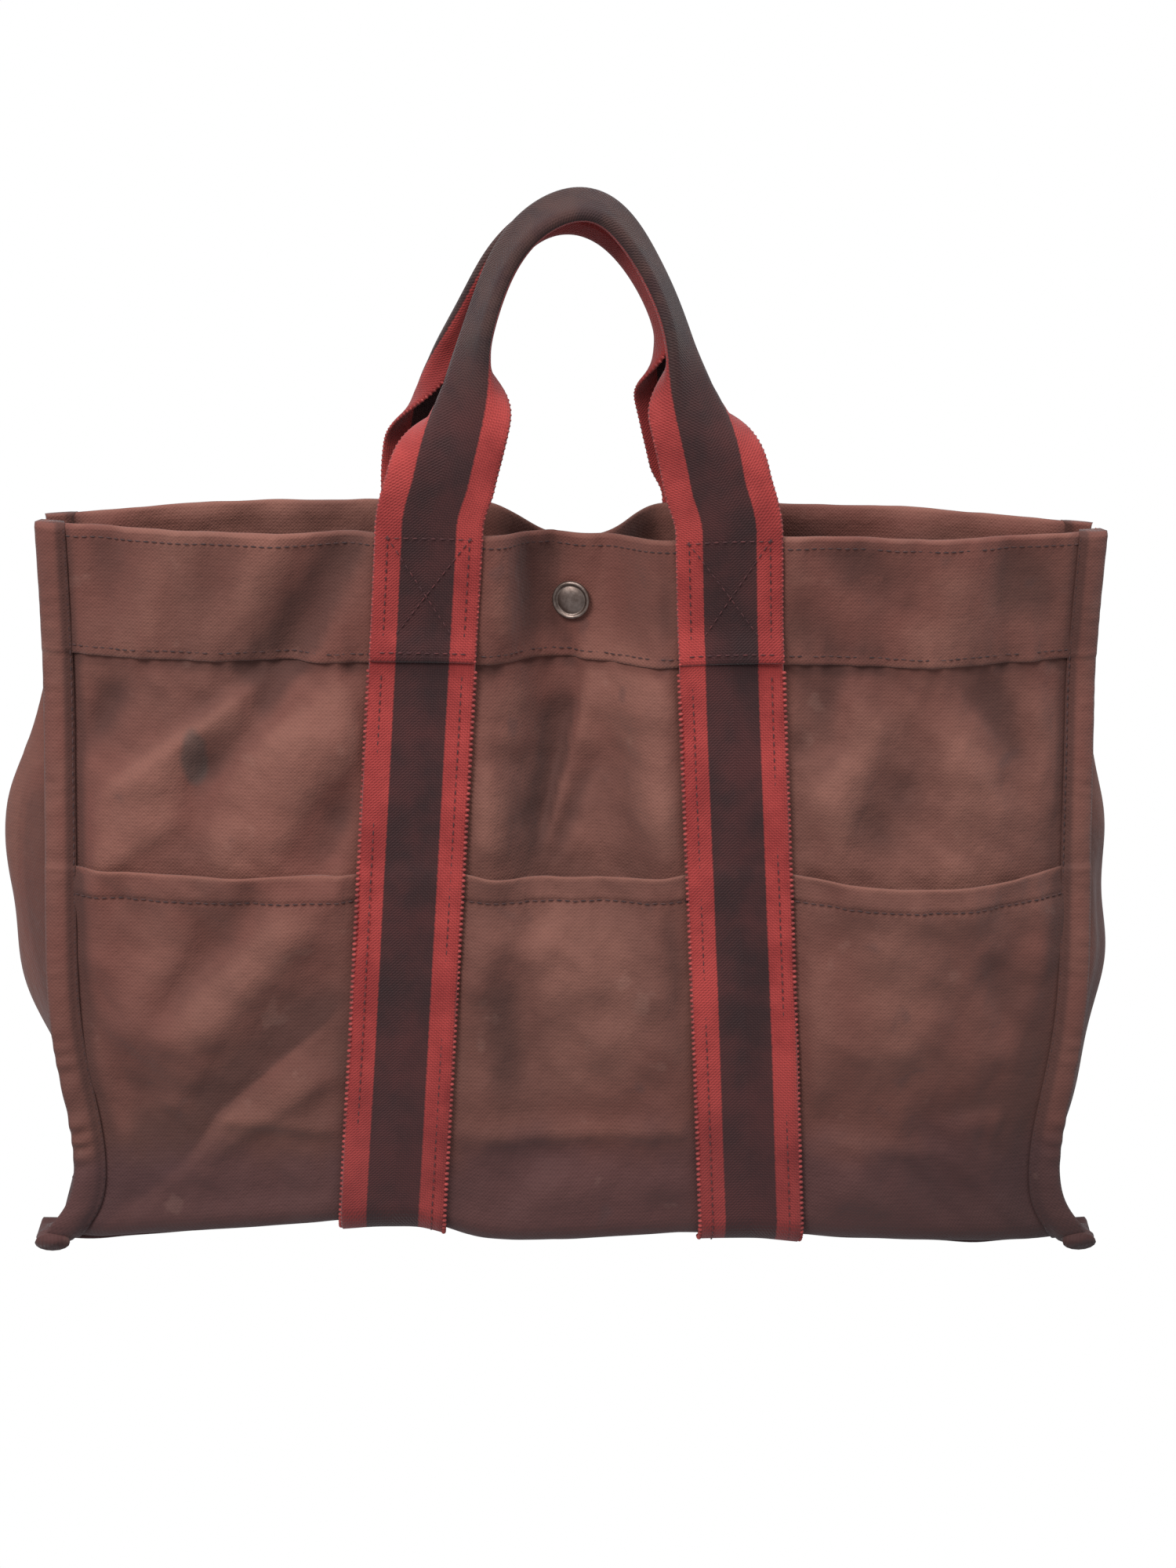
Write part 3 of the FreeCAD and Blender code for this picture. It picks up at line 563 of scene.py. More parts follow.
def webbing_material():
    """Twill webbing: red edges, a dark plum middle half, ribs across it."""
    n = Nodes("striped_webbing")
    flat = n.add("ShaderNodeUVMap", uv_map="cloth").outputs[0]
    solid = n.add("ShaderNodeTexCoord").outputs["Object"]
    split = n.add("ShaderNodeSeparateXYZ", {0: flat})
    across, along = split.outputs[0], split.outputs[1]
    wobble = n.math("MULTIPLY", n.math("SUBTRACT", n.noise(flat, 700.0, 2.0), 0.5), 0.0009)
    side = n.math("ABSOLUTE", n.math("ADD", across, wobble))
    middle = n.math("SUBTRACT", 1.0, n.step(side, WEB_WIDTH * 0.245, WEB_WIDTH * 0.262))
    twill = n.math("SINE", n.math("MULTIPLY", n.math("MULTIPLY_ADD", side, 0.9, along), 2 * math.pi / 0.0013))
    rib = n.math("SINE", n.math("MULTIPLY", along, 2 * math.pi / 0.00095))
    weft = n.math("SINE", n.math("MULTIPLY", across, 2 * math.pi / 0.0009))
    grain = n.noise(flat, 1500.0, 2.0)
    weave = n.math("MULTIPLY_ADD", twill, 0.42, n.math("MULTIPLY_ADD", rib, 0.22, n.math("MULTIPLY", weft, 0.2)))
    weave = n.math("MULTIPLY_ADD", grain, 0.8, weave)
    cloudy = n.noise(solid, 42.0, 4.0, 0.6)
    red = n.mix(n.step(cloudy, 0.3, 0.7), srgb(130, 36, 34), srgb(162, 56, 52))
    plum = n.mix(n.step(cloudy, 0.3, 0.7), srgb(42, 16, 17), srgb(68, 30, 29))
    colour = n.mix(middle, red, plum)
    place = n.add("ShaderNodeSeparateXYZ", {0: solid})
    low = n.math("SUBTRACT", 1.0, n.step(place.outputs[2], 0.02, 0.09))
    colour = n.mix(n.math("MULTIPLY", low, 0.35), colour, srgb(62, 28, 29))
    high = n.step(place.outputs[2], BAG_TOP + 0.03, BAG_TOP + 0.09)
    worn = n.mix(n.step(n.noise(solid, 90.0, 4.0, 0.6, seed=4.0), 0.4, 0.65), srgb(64, 44, 38), srgb(40, 27, 27))
    colour = n.mix(n.math("MULTIPLY", n.math("MULTIPLY", high, middle), 0.6), colour, worn)
    light = n.math("MULTIPLY_ADD", weave, 0.16, 0.92)
    mask = n.add("ShaderNodeCombineColor", {0: light, 1: light, 2: light})
    colour = n.mix(1.0, colour, mask.outputs[0], "MULTIPLY")
    n.put(n.shader.inputs["Base Color"], colour)
    n.put(n.shader.inputs["Roughness"], n.math("MULTIPLY_ADD", cloudy, 0.2, 0.66))
    n.put(n.shader.inputs["Normal"], n.bump(weave, 0.6, 0.0003))
    n.shader.inputs["Sheen Weight"].default_value = 0.15
    n.shader.inputs["Specular IOR Level"].default_value = 0.3
    return n.material


def thread_material(name, dark, light):
    """Twisted sewing thread."""
    n = Nodes(name)
    solid = n.add("ShaderNodeTexCoord").outputs["Object"]
    mottled = n.noise(solid, 260.0, 3.0)
    n.put(n.shader.inputs["Base Color"], n.mix(n.step(mottled, 0.35, 0.65), dark, light))
    n.put(n.shader.inputs["Normal"], n.bump(n.noise(solid, 4000.0, 2.0), 0.5, 0.0001))
    n.shader.inputs["Roughness"].default_value = 0.7
    n.shader.inputs["Sheen Weight"].default_value = 0.1
    return n.material


def metal_material(name, base, tint, rough):
    """Nickel that has gone dull, brighter where it is rubbed."""
    n = Nodes(name)
    solid = n.add("ShaderNodeTexCoord").outputs["Object"]
    tarnish = n.noise(solid, 320.0, 5.0, 0.65)
    fine = n.noise(solid, 2600.0, 3.0, 0.6, seed=2.0)
    scratch = n.noise(n.add("ShaderNodeMapping", {"Vector": solid, "Scale": (1.0, 1.0, 14.0)}).outputs[0], 700.0, 2.0)
    colour = n.mix(n.step(tarnish, 0.36, 0.66), base, tint)
    colour = n.mix(n.math("MULTIPLY", n.step(fine, 0.55, 0.75), 0.35), colour, srgb(86, 74, 68))
    n.put(n.shader.inputs["Base Color"], colour)
    n.shader.inputs["Metallic"].default_value = 1.0
    n.put(n.shader.inputs["Roughness"], n.math("MULTIPLY_ADD", tarnish, 0.3, rough))
    n.put(n.shader.inputs["Normal"], n.bump(n.math("ADD", scratch, fine), 0.12, 0.00015))
    return n.material


CANVAS_CLOTH = canvas_material()
WEBBING_CLOTH = webbing_material()
CANVAS_THREAD = thread_material("canvas_thread", srgb(46, 24, 24), srgb(70, 40, 37))
WEB_THREAD = thread_material("webbing_thread", srgb(58, 22, 25), srgb(88, 34, 34))
PICOT_THREAD = thread_material("webbing_edge", srgb(120, 38, 36), srgb(162, 60, 56))
NICKEL = metal_material("aged_nickel", srgb(142, 126, 118), srgb(108, 93, 86), 0.32)


# ---- repeated sewing, made with geometry nodes -----------------------------------------

def bead_tree():
    """Beads set along lines: each stitch of a seam, or each loop of a woven edge."""
    tree = bpy.data.node_groups.new("sewn_run", "GeometryNodeTree")
    tree.interface.new_socket("Lines", in_out="INPUT", socket_type="NodeSocketGeometry")
    for label, value in (("Pitch", STITCH_PITCH), ("Length", 0.0022), ("Width", THREAD)):
        socket = tree.interface.new_socket(label, in_out="INPUT", socket_type="NodeSocketFloat")
        socket.default_value = value
    tree.interface.new_socket("Cloth", in_out="INPUT", socket_type="NodeSocketMaterial")
    tree.interface.new_socket("Geometry", in_out="OUTPUT", socket_type="NodeSocketGeometry")
    add, link = tree.nodes.new, tree.links.new
    given, result = add("NodeGroupInput"), add("NodeGroupOutput")
    curve = add("GeometryNodeMeshToCurve")
    points = add("GeometryNodeCurveToPoints")
    points.mode = "LENGTH"
    bead = add("GeometryNodeMeshIcoSphere")
    bead.inputs["Radius"].default_value = 0.5
    bead.inputs["Subdivisions"].default_value = 2
    size = add("ShaderNodeCombineXYZ")
    stretch = add("GeometryNodeTransform")
    instances = add("GeometryNodeInstanceOnPoints")
    real = add("GeometryNodeRealizeInstances")
    paint = add("GeometryNodeSetMaterial")
    smooth = add("GeometryNodeSetShadeSmooth")
    link(given.outputs["Lines"], curve.inputs["Mesh"])
    link(curve.outputs["Curve"], points.inputs["Curve"])
    link(given.outputs["Pitch"], points.inputs["Length"])
    for axis, label in (("X", "Width"), ("Y", "Width"), ("Z", "Length")):
        link(given.outputs[label], size.inputs[axis])
    link(bead.outputs["Mesh"], stretch.inputs["Geometry"])
    link(size.outputs[0], stretch.inputs["Scale"])
    link(points.outputs["Points"], instances.inputs["Points"])
    link(points.outputs["Rotation"], instances.inputs["Rotation"])
    link(stretch.outputs[0], instances.inputs["Instance"])
    link(instances.outputs[0], real.inputs[0])
    link(real.outputs[0], smooth.inputs[0])
    link(smooth.outputs[0], paint.inputs["Geometry"])
    link(given.outputs["Cloth"], paint.inputs["Material"])
    link(paint.outputs[0], result.inputs[0])
    return tree


SEWN_RUN = bead_tree()


def sew(name, lines, material, pitch=STITCH_PITCH, length=0.0022, width=THREAD):
    """Turn lines of points into beads of thread, as one plain mesh."""
    points, edges = [], []
    for line in lines:
        start = len(points)
        points.extend(line)
        edges.extend((start + i, start + i + 1) for i in range(len(line) - 1))
    mesh = bpy.data.meshes.new(name + "_lines")
    mesh.from_pydata([tuple(map(float, p)) for p in points], edges, [])
    guide = bpy.data.objects.new(name + "_lines", mesh)
    bpy.context.scene.collection.objects.link(guide)
    modifier = guide.modifiers.new("sewn", "NODES")
    modifier.node_group = SEWN_RUN
    values = {"Pitch": pitch, "Length": length, "Width": width, "Cloth": material}
    for item in SEWN_RUN.interface.items_tree:
        if item.in_out == "INPUT" and item.name in values:
            modifier[item.identifier] = values[item.name]
    seen = guide.evaluated_get(bpy.context.evaluated_depsgraph_get())
    beads = bpy.data.meshes.new_from_object(seen)
    beads.name = name
    piece = bpy.data.objects.new(name, beads)
    bpy.context.scene.collection.objects.link(piece)
    bpy.data.objects.remove(guide)
    return piece


# ---- solid shapes made of stations -----------------------------------------------------

def tube(name, points, flat_u, flat_v, material, wear=None):
    """A closed shape through stations: points[i, k] runs round the section at station i."""
    stations, around = points.shape[:2]
    index = np.arange(stations * around).reshape(stations, around)
    following = np.roll(index, -1, axis=1)
    a, b, c, d = index[:-1], index[1:], following[1:], following[:-1]
    faces = np.stack([a, b, c, d], axis=-1).reshape(-1, 4).tolist()
    faces.append(index[0].tolist())
    faces.append(index[-1][::-1].tolist())
    piece = new_mesh(name, points.reshape(-1, 3), faces, material)
    set_uv(piece, np.broadcast_to(flat_u, (stations, around)).ravel(),
           np.broadcast_to(flat_v, (stations, around)).ravel())
    if wear is not None:
        set_value(piece, "wear", np.broadcast_to(wear, (stations, around)).ravel())
    outward(piece)
    return piece


def thicken(name, middle, flat_u, flat_v, half, material, wear=None):
    """A sheet with rounded edges round a grid of middle points."""
    run_u = np.gradient(middle, axis=0)
    run_v = np.gradient(middle, axis=1)
    normal = np.cross(run_u, run_v)
    normal /= np.maximum(np.linalg.norm(normal, axis=-1, keepdims=True), 1e-12)
    unit_u = run_u / np.maximum(np.linalg.norm(run_u, axis=-1, keepdims=True), 1e-12)
    unit_v = run_v / np.maximum(np.linalg.norm(run_v, axis=-1, keepdims=True), 1e-12)
    nu, nv = middle.shape[:2]
    index = np.arange(nu * nv).reshape(nu, nv)
    base = nu * nv
    quads = np.stack([index[:-1, :-1], index[1:, :-1], index[1:, 1:], index[:-1, 1:]], axis=-1).reshape(-1, 4)
    faces = quads.tolist() + (quads[:, ::-1] + base).tolist()
    ring = [(i, 0) for i in range(nu)] + [(nu - 1, j) for j in range(1, nv)]
    ring += [(i, nv - 1) for i in range(nu - 2, -1, -1)] + [(0, j) for j in range(nv - 2, 0, -1)]
    rim = []
    for i, j in ring:
        push = np.zeros(3)
        if i in (0, nu - 1):
            push += unit_u[i, j] * (-1 if i == 0 else 1)
        if j in (0, nv - 1):
            push += unit_v[i, j] * (-1 if j == 0 else 1)
        rim.append(middle[i, j] + push / max(np.linalg.norm(push), 1e-9) * half)
    count = len(ring)
    for k in range(count):
        n = (k + 1) % count
        top, top_next = index[ring[k]], index[ring[n]]
        faces.append((top_next, top, 2 * base + k, 2 * base + n))
        faces.append((2 * base + n, 2 * base + k, base + top, base + top_next))
    points = np.concatenate([(middle + normal * half).reshape(-1, 3), (middle - normal * half).reshape(-1, 3),
                             np.array(rim)])
    piece = new_mesh(name, points, faces, material)
    rim_u = np.array([flat_u[i, j] for i, j in ring])
    rim_v = np.array([flat_v[i, j] for i, j in ring])
    set_uv(piece, np.concatenate([flat_u.ravel(), flat_u.ravel(), rim_u]),
           np.concatenate([flat_v.ravel(), flat_v.ravel(), rim_v]))
    if wear is not None:
        edge = np.array([wear[i, j] for i, j in ring])
        set_value(piece, "wear", np.concatenate([wear.ravel(), wear.ravel(), edge]))
    outward(piece)
    return piece


# ---- the pieces of a wall --------------------------------------------------------------

LOWEST = CLOTH_GROUND + BOTTOM_ROUND * (1 - math.pi / 2) - 0.010


def wall_wear_and_painted_light(wall, x, v):
    """Rubbing and painted highlight on proud folds, dirt and painted shade in sunk ones, and painted shade in the
    stitched groove beside the sewn edge and just under the band.
    """
    height = wall.relief(x, v)
    # painted shade in the stitched groove beside the sewn edge, wider low down
    seam = 0.9 * ridge_profile(np.abs(x), PANEL_HALF - 0.001, 0.0022 + 0.0045 * (1 - v / BAG_TOP))
    # painted shade just under the band's edge
    edge = 0.5 * ridge_profile(v, BAND_LOW - 0.002, 0.002)
    return np.clip(height / 0.0042, -0.8, 0.8) - seam - edge


def hang(piece, wall):
    """Cloth that is turned under the base: its placement is baked into its mesh."""
    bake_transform(piece)


def build_panel(wall):
    def place(x, v, out):
        # behind a pocket the wall's own cloth is pressed inwards
        under_mouth = 1 - ramp(POCKET_TOP - 0.030, POCKET_TOP - 0.004, v)
        behind = (1 - wall.stiff(x, v)) * under_mouth * ramp(0.004, 0.03, v)
        behind = behind * (1 - ramp(PANEL_HALF - 0.02, PANEL_HALF - 0.004, np.abs(x)))
        return wall.place(x, v, out - 0.004 * behind)

    piece = shell(wall.name + "_canvas_panel", spread(-PANEL_HALF, PANEL_HALF, 0.002),
                  spread(LOWEST, BAG_TOP - 0.0012, 0.002), place, (0.0, CANVAS), CANVAS_CLOTH,
                  lambda x, v: wall_wear_and_painted_light(wall, x, v))
    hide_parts(wall.name + "_panel")
    return piece


def build_band(wall):
    """The doubled band round the mouth, turned over the top edge."""
    rise = np.array([0.0008, 0.0, 0.0004, 0.0018, 0.006, 0.014, 0.024, 0.034, 0.043, 0.0480, 0.0490, 0.0496, 0.0500,
                     0.0496, 0.0488, 0.043, 0.034, 0.024, 0.014, 0.0135, 0.018, 0.030, 0.040, 0.046, 0.040, 0.024,
                     0.010, 0.004])
    out = np.array([0.0014, 0.0020, 0.0028, 0.0031, 0.0029, 0.0028, 0.0028, 0.0028, 0.0029, 0.0031, 0.0029, 0.0022,
                    0.0012, 0.0001, -0.0008, -0.0011, -0.0010, -0.0010, -0.0010, -0.0003, -0.0002, -0.0002, -0.0002,
                    0.0006, 0.0013, 0.0013, 0.0013, 0.0013])
    xs = spread(-PANEL_HALF - 0.001, PANEL_HALF + 0.001, 0.0018)
    grid_x = np.repeat(xs[:, None], len(rise), axis=1)
    grid_v = np.repeat((BAND_LOW + rise)[None, :], len(xs), axis=0)
    grid_out = np.repeat(out[None, :], len(xs), axis=0)
    front = grid_out > 0.0015
    gather = pucker(grid_x, grid_v - BAND_LOW - 0.0035, wall.seed + 2, 0.00038, 0.006)
    gather += pucker(grid_x, grid_v - BAG_TOP + 0.004, wall.seed + 3, 0.0002, 0.004)
    groove = 0.0005 * ridge_profile(grid_v, BAND_LOW + 0.0036, 0.0008)
    groove += 0.0004 * ridge_profile(grid_v, BAG_TOP - 0.0045, 0.0008)
    grid_out = grid_out + np.where(front, gather * (1 - wall.stiff(grid_x, grid_v)) - groove, 0)
    points = wall.place(grid_x, grid_v, grid_out)
    # lighter on proud folds and darker in sunk ones: rubbing, painted highlight and painted shade
    folded = np.clip(wall.relief(grid_x, grid_v) / 0.004, -0.7, 0.7)
    rubbed = 0.75 * ridge_profile(grid_v, BAG_TOP, 0.0016) + 0.8 * ridge_profile(grid_v, BAND_LOW, 0.0016)
    # painted shade in the two stitch grooves and beside the sewn edges
    sunk = 0.8 * ridge_profile(grid_v, BAND_LOW + 0.0042, 0.0013)
    sunk += 0.5 * ridge_profile(grid_v, BAG_TOP - 0.0045, 0.0012)
    sunk += 0.9 * ridge_profile(np.abs(grid_x), PANEL_HALF - 0.001, 0.003)
    piece = tube(wall.name + "_canvas_band", points, grid_x, grid_v, CANVAS_CLOTH, folded + rubbed - sunk)
    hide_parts(wall.name + "_top_band")
    return piece


def build_pocket(wall):
    hem = 0.0095

    def place(x, v, out):
        gather = 0.00035 * ridge_profile(v, POCKET_TOP - hem, 0.0008)
        swell = 0.0003 * ramp(POCKET_TOP - hem - 0.001, POCKET_TOP - hem + 0.002, v)
        return pocket_place(wall, x, v, out + np.where(out > CANVAS + 0.0006, swell - gather, 0))

    def wear(x, v):
        free = 1 - wall.stiff(x, v)
        # lighter on proud folds and darker in sunk ones: rubbing, painted highlight and painted shade
        folded = np.clip(fold_field(wall.pocket_folds, x, v) * free / 0.0045, -0.9, 0.8)
        rubbed = 0.8 * ridge_profile(v, POCKET_TOP + 0.0004, 0.0016)
        # painted shade in the hem's stitch groove and in the groove beside the sewn edge, widest low on the right
        sunk = 0.4 * ridge_profile(v, POCKET_TOP - hem, 0.0010)
        groove = 0.0022 + 0.0045 * (1 - v / BAG_TOP) + 0.0085 * (x > 0) * (1 - ramp(0.0, 0.16, v))
        sunk = sunk + 1.3 * ridge_profile(np.abs(x), PANEL_HALF - 0.001, groove)
        shade = 0.35 * ridge_profile(np.abs(x), wall.web_middle(v) + WEB_WIDTH / 2 + 0.002, 0.003)
        return folded + rubbed - sunk - shade

    hem_start = POCKET_TOP - 0.012
    vs = np.concatenate([np.arange(LOWEST, hem_start, 0.002), np.arange(hem_start, POCKET_TOP, 0.0008)])
    piece = shell(wall.name + "_canvas_pockets", spread(-PANEL_HALF, PANEL_HALF, 0.002), vs, place, PLY_POCKET,
                  CANVAS_CLOTH, wear)
    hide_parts(wall.name + "_pocket_panel")
    return piece


def flange_out(wall, x, v):
    """How far the sewn edge stands out: a soft roll, with a stitched groove on its inner side."""
    share = (np.abs(x) - PANEL_HALF) / FLANGE
    roll = 0.0026 + 0.0022 * np.sqrt(np.clip(1 - (2 * share - 1) ** 2, 0, 1))
    over_band = 0.0010 * ramp(BAND_LOW - 0.0005, BAND_LOW + 0.0015, v)
    steps = over_band + 0.0010 * (1 - ramp(POCKET_TOP - 0.0006, POCKET_TOP + 0.0016, v))
    crumple = np.where(x < 0, 1.0, 0.4) * ridge_profile(v, 0.052, 0.02) + 0.2
    creases = 0.0007 * crumple * np.sin(v * 2 * math.pi / 0.0085 + 2.2 * np.sin(v * 190 + wall.seed) + share * 2)
    return roll + steps + creases * np.clip(share * 1.6, 0, 1)


def build_flange(wall, side):
    """One sewn side edge of a wall."""
    sign = -1 if side == "left" else 1
    turn = np.linspace(0, 1, 13)
    outward_run = PANEL_HALF - 0.0012 + (FLANGE + 0.0008) * turn
    reach = np.concatenate([outward_run, HALF - 0.0012 - (FLANGE - 0.0004) * turn[1:-1]])
    face = np.concatenate([np.ones(13), np.zeros(11)])
    vs = spread(CLOTH_GROUND + BOTTOM_ROUND * (1 - math.pi / 2) - 0.004, BAG_TOP, 0.0009)
    grid_x = np.repeat(sign * reach[None, :], len(vs), axis=0)
    grid_v = np.repeat(vs[:, None], len(reach), axis=1)
    mask = np.repeat(face[None, :], len(vs), axis=0)
    out = np.where(mask > 0.5, flange_out(wall, grid_x, grid_v), -0.0022)
    round_end = 1 - ramp(BAG_TOP - 0.0022, BAG_TOP + 0.0012, grid_v)
    out = np.where(mask > 0.5, 0.0008 + (out - 0.0008) * (0.35 + 0.65 * round_end), out)
    flare = 0.0040 * ridge_profile(grid_v, 0.004, 0.015) * (np.abs(grid_x) - PANEL_HALF) / FLANGE
    points = wall.place(grid_x + sign * flare, grid_v, out)
    share = (np.abs(grid_x) - PANEL_HALF) / FLANGE
    # the roll is lighter on its crest from rubbing and painted highlight, with painted shade in the groove on its
    # inner side; the edge is a little darker overall
    wear = 0.35 * ridge_profile(share, 0.55, 0.3) - 1.2 * ridge_profile(share, 0.0, 0.20)
    wear = wear + 0.5 * ridge_profile(grid_v, BAND_LOW, 0.0014) - 0.25
    piece = tube(wall.name + "_" + side + "_edge", points, grid_x, grid_v, CANVAS_CLOTH, wear)
    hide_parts(wall.name + "_" + side + "_seam")
    return piece


def strap_out(v):
    """Where the webbing lies over the wall: over the pocket, and thinner above it."""
    return PLY_WEB[0] + 0.0009 - 0.0009 * ramp(POCKET_TOP - 0.002, POCKET_TOP + 0.006, v)


def build_strap(wall, side):
    sign = -1 if side == "left" else 1
    ws = np.linspace(-WEB_WIDTH / 2 + 0.0007, WEB_WIDTH / 2 - 0.0007, 17)
    vs = spread(LOWEST, BAND_LOW + 0.002, 0.0015)
    grid_w, grid_v = np.meshgrid(ws, vs, indexing="ij")
    across = sign * wall.web_middle(grid_v) + grid_w
    wave = 0.35 * ripple(grid_w, grid_v, wall.seed + 7 + sign, 0.0012, 0.03, 0.12)
    middle = wall.place(across, grid_v, strap_out(grid_v) + 0.0009 + wave)
    piece = thicken(wall.name + "_" + side + "_webbing", middle, grid_w, grid_v, WEBBING / 2 - 0.0001, WEBBING_CLOTH)
    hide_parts(wall.name + "_" + side + "_strap")
    return piece


# ---- handles ---------------------------------------------------------------------------

def fold_section(w, outer, inner):
    """Webbing folded round on itself: across and forward places for a distance w from its middle."""
    flat, arc = 0.0064, 0.0056
    fold = 0.5 * (outer + inner)
    angle = np.maximum(np.where(w > 0, inner, outer) * math.pi, 1e-4)
    radius = arc / angle
    s = np.abs(w)
    phase = np.clip((s - flat) / arc, 0, 1) * angle
    beyond = np.maximum(s - flat - arc, 0)
    across = np.minimum(s, flat) + radius * np.sin(phase) + beyond * np.cos(angle)
    forward = -radius * (1 - np.cos(phase)) - beyond * np.sin(angle)
    return np.sign(w) * across, forward + fold * 0.0018


def handle_line(track):
    """Points along the middle of a handle, evenly placed."""
    track = np.array(track, float) / 1000
    steps = np.concatenate([[0], np.cumsum(np.linalg.norm(np.diff(track[:, :2], axis=0), axis=1))])
    even = np.linspace(0, steps[-1], 190)
    line = np.zeros((len(even), 4))
    for k in range(track.shape[1]):
        line[:, k] = np.interp(even, steps, track[:, k])
    for _ in range(44):
        line[1:-1] = 0.5 * line[1:-1] + 0.25 * (line[:-2] + line[2:])
    return line


# across, height above the mouth, fold in thousandths, twist in thousandths of a turn
FRONT_TRACK = [
    (-55.6, 0, 0, 0), (-53.6, 10, 0, 0), (-51.0, 24, 40, 0), (-46.6, 39, 360, 30), (-43.0, 53, 720, 90),
    (-41.0, 64, 980, 150), (-38.6, 72, 1000, 172), (-34.8, 84, 1000, 175), (-30.6, 95, 1000, 175),
    (-24.2, 106, 1000, 170), (-15.0, 114.5, 1000, 165), (-2.0, 119.8, 1000, 165), (8.5, 117.8, 1000, 175),
    (15.4, 110.5, 1000, 170), (20.4, 104, 1000, 185), (24.2, 97.5, 1000, 190), (28.2, 90.5, 1000, 190),
    (32.0, 82.5, 1000, 190), (35.0, 74.5, 1000, 185), (37.8, 64.5, 960, 160), (41.0, 54, 680, 100),
    (45.6, 41, 320, 30), (49.6, 27, 60, 0), (52.6, 11, 0, 0), (55.2, 0, 0, 0),
]
BACK_TRACK = [
    (-55.2, 0, 0, 0), (-52.6, 8, 0, 0), (-48.4, 25, 60, 0), (-43.6, 41, 380, 40), (-39.2, 55, 740, 90),
    (-38.2, 62, 960, 130), (-36.4, 69, 1000, 150), (-32.6, 78, 1000, 160), (-27.4, 88, 1000, 160),
    (-21.0, 98, 1000, 150), (-13.0, 107, 1000, 140), (-3.0, 112.5, 1000, 130), (8.0, 113.5, 1000, 130),
    (18.5, 109.5, 1000, 140), (26.0, 102.5, 1000, 140), (31.2, 95.5, 1000, 140), (37.4, 83, 1000, 140),
    (43.4, 70, 980, 120), (49.6, 56, 700, 80), (53.6, 40, 360, 30), (54.8, 24, 60, 0), (56.2, 10, 0, 0),
    (56.5, 0, 0, 0),
]


def build_handle(wall, track, inset):
    """Webbing that is sewn to the wall, rises, folds round on itself into a grip and comes down."""
    ws = np.linspace(-WEB_WIDTH / 2 + 0.0007, WEB_WIDTH / 2 - 0.0007, 25)
    line = handle_line(track)
    start_out = PLY_WEB[0] + 0.0009
    foot = float(wall.mouth_depth(WEB_TOP_X)) + start_out
    place = np.zeros((len(line), 3))
    place[:, 0] = line[:, 0]
    place[:, 2] = BAG_TOP + line[:, 1]
    place[:, 1] = -(foot + (inset - foot) * ramp(0.012, 0.105, line[:, 1]))
    tangent = np.gradient(place, axis=0)
    tangent /= np.linalg.norm(tangent, axis=1, keepdims=True)
    inward = np.stack([tangent[:, 2], np.zeros(len(line)), -tangent[:, 0]], axis=1)
    inward /= np.linalg.norm(inward, axis=1, keepdims=True)
    forward = np.cross(inward, tangent)
    rows = []
    for i in range(len(line)):
        outer_fold = float(np.clip(line[i, 2], 0, 1))
        inner_fold = outer_fold * float(ramp(0.034, 0.070, line[i, 1]))
        across, ahead = fold_section(ws, outer_fold, inner_fold)
        angle = line[i, 3] * 2 * math.pi
        turned = across * math.cos(angle) - ahead * math.sin(angle)
        raised = across * math.sin(angle) + ahead * math.cos(angle)
        rows.append(place[i] + np.outer(turned, inward[i]) + np.outer(raised, forward[i]))
    loop = np.array(rows)
    # the two ends lie on the wall
    vs = np.arange(BAND_LOW + 0.0022, BAG_TOP - 0.0001, 0.0015)
    end_lift = 0.0021 * (1 - ramp(0.0, 0.014, vs - vs[0])) + 0.0009
    parts, along = [], []
    for sign in (-1, 1):
        grid_w, grid_v = np.meshgrid(ws, vs, indexing="ij")
        across = sign * wall.web_middle(grid_v) - sign * grid_w
        lift = PLY_WEB[0] + 0.0001 + np.repeat(end_lift[None, :], len(ws), axis=0)
        points = wall.place(across, grid_v, lift)
        points[..., :2] *= wall.turn
        parts.append(np.transpose(points, (1, 0, 2)))
    left, right = parts
    reach = 14
    for k in range(reach):
        share = k / reach
        share = share * share * (3 - 2 * share)
        for leg, row in ((left, k), (right, len(loop) - 1 - k)):
            rise = np.array([0, 0, loop[row, 12, 2] - BAG_TOP])
            carried = leg[-1] + rise
            loop[row] = carried * (1 - share) + loop[row] * share
    grid = np.concatenate([left, loop[1:-1], right[::-1]])
    # the webbing is a little uneven
    step = np.linalg.norm(np.diff(grid[:, 12], axis=0), axis=1)
    length = np.concatenate([[0], np.cumsum(step)])
    grid_along = np.repeat(length[:, None], len(ws), axis=1)
    grid_across = np.repeat(ws[None, :], len(length), axis=0)
    away_from_ends = ramp(0.05, 0.08, grid_along) * ramp(0.05, 0.08, length[-1] - grid_along)
    uneven = ripple(grid_across, grid_along, wall.seed + 31, 0.0016, 0.02, 0.09)
    grid[..., 1] += 0.35 * uneven * away_from_ends
    grid[..., :2] *= wall.turn
    piece = thicken(wall.name + "_handle_webbing", grid, grid_across, grid_along, WEBBING / 2 - 0.0001, WEBBING_CLOTH)
    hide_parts(wall.name + "_handle", wall.name + "_left_handle_tab", wall.name + "_right_handle_tab")

    def outer(edge, inside):
        away = edge - inside
        return edge + away / np.linalg.norm(away, axis=1, keepdims=True) * 0.0003

    edges = sew(wall.name + "_handle_loops", [outer(grid[:, 0], grid[:, 1]), outer(grid[:, -1], grid[:, -2])],
                PICOT_THREAD, 0.0021, 0.0012, 0.0015)
    return piece, edges


# ---- gussets, base ---------------------------------------------------------------------

# how far a gusset swells out at a height, both in millimetres
LEFT_SWELL = ((5, 0), (46, 6), (98, 15.5), (149, 22), (188, 14), (214, 3.5), (273, 0))
RIGHT_SWELL = ((5, 0), (33, 8), (76, 17), (118, 20), (150, 15), (185, 7), (223, 1), (273, 0))


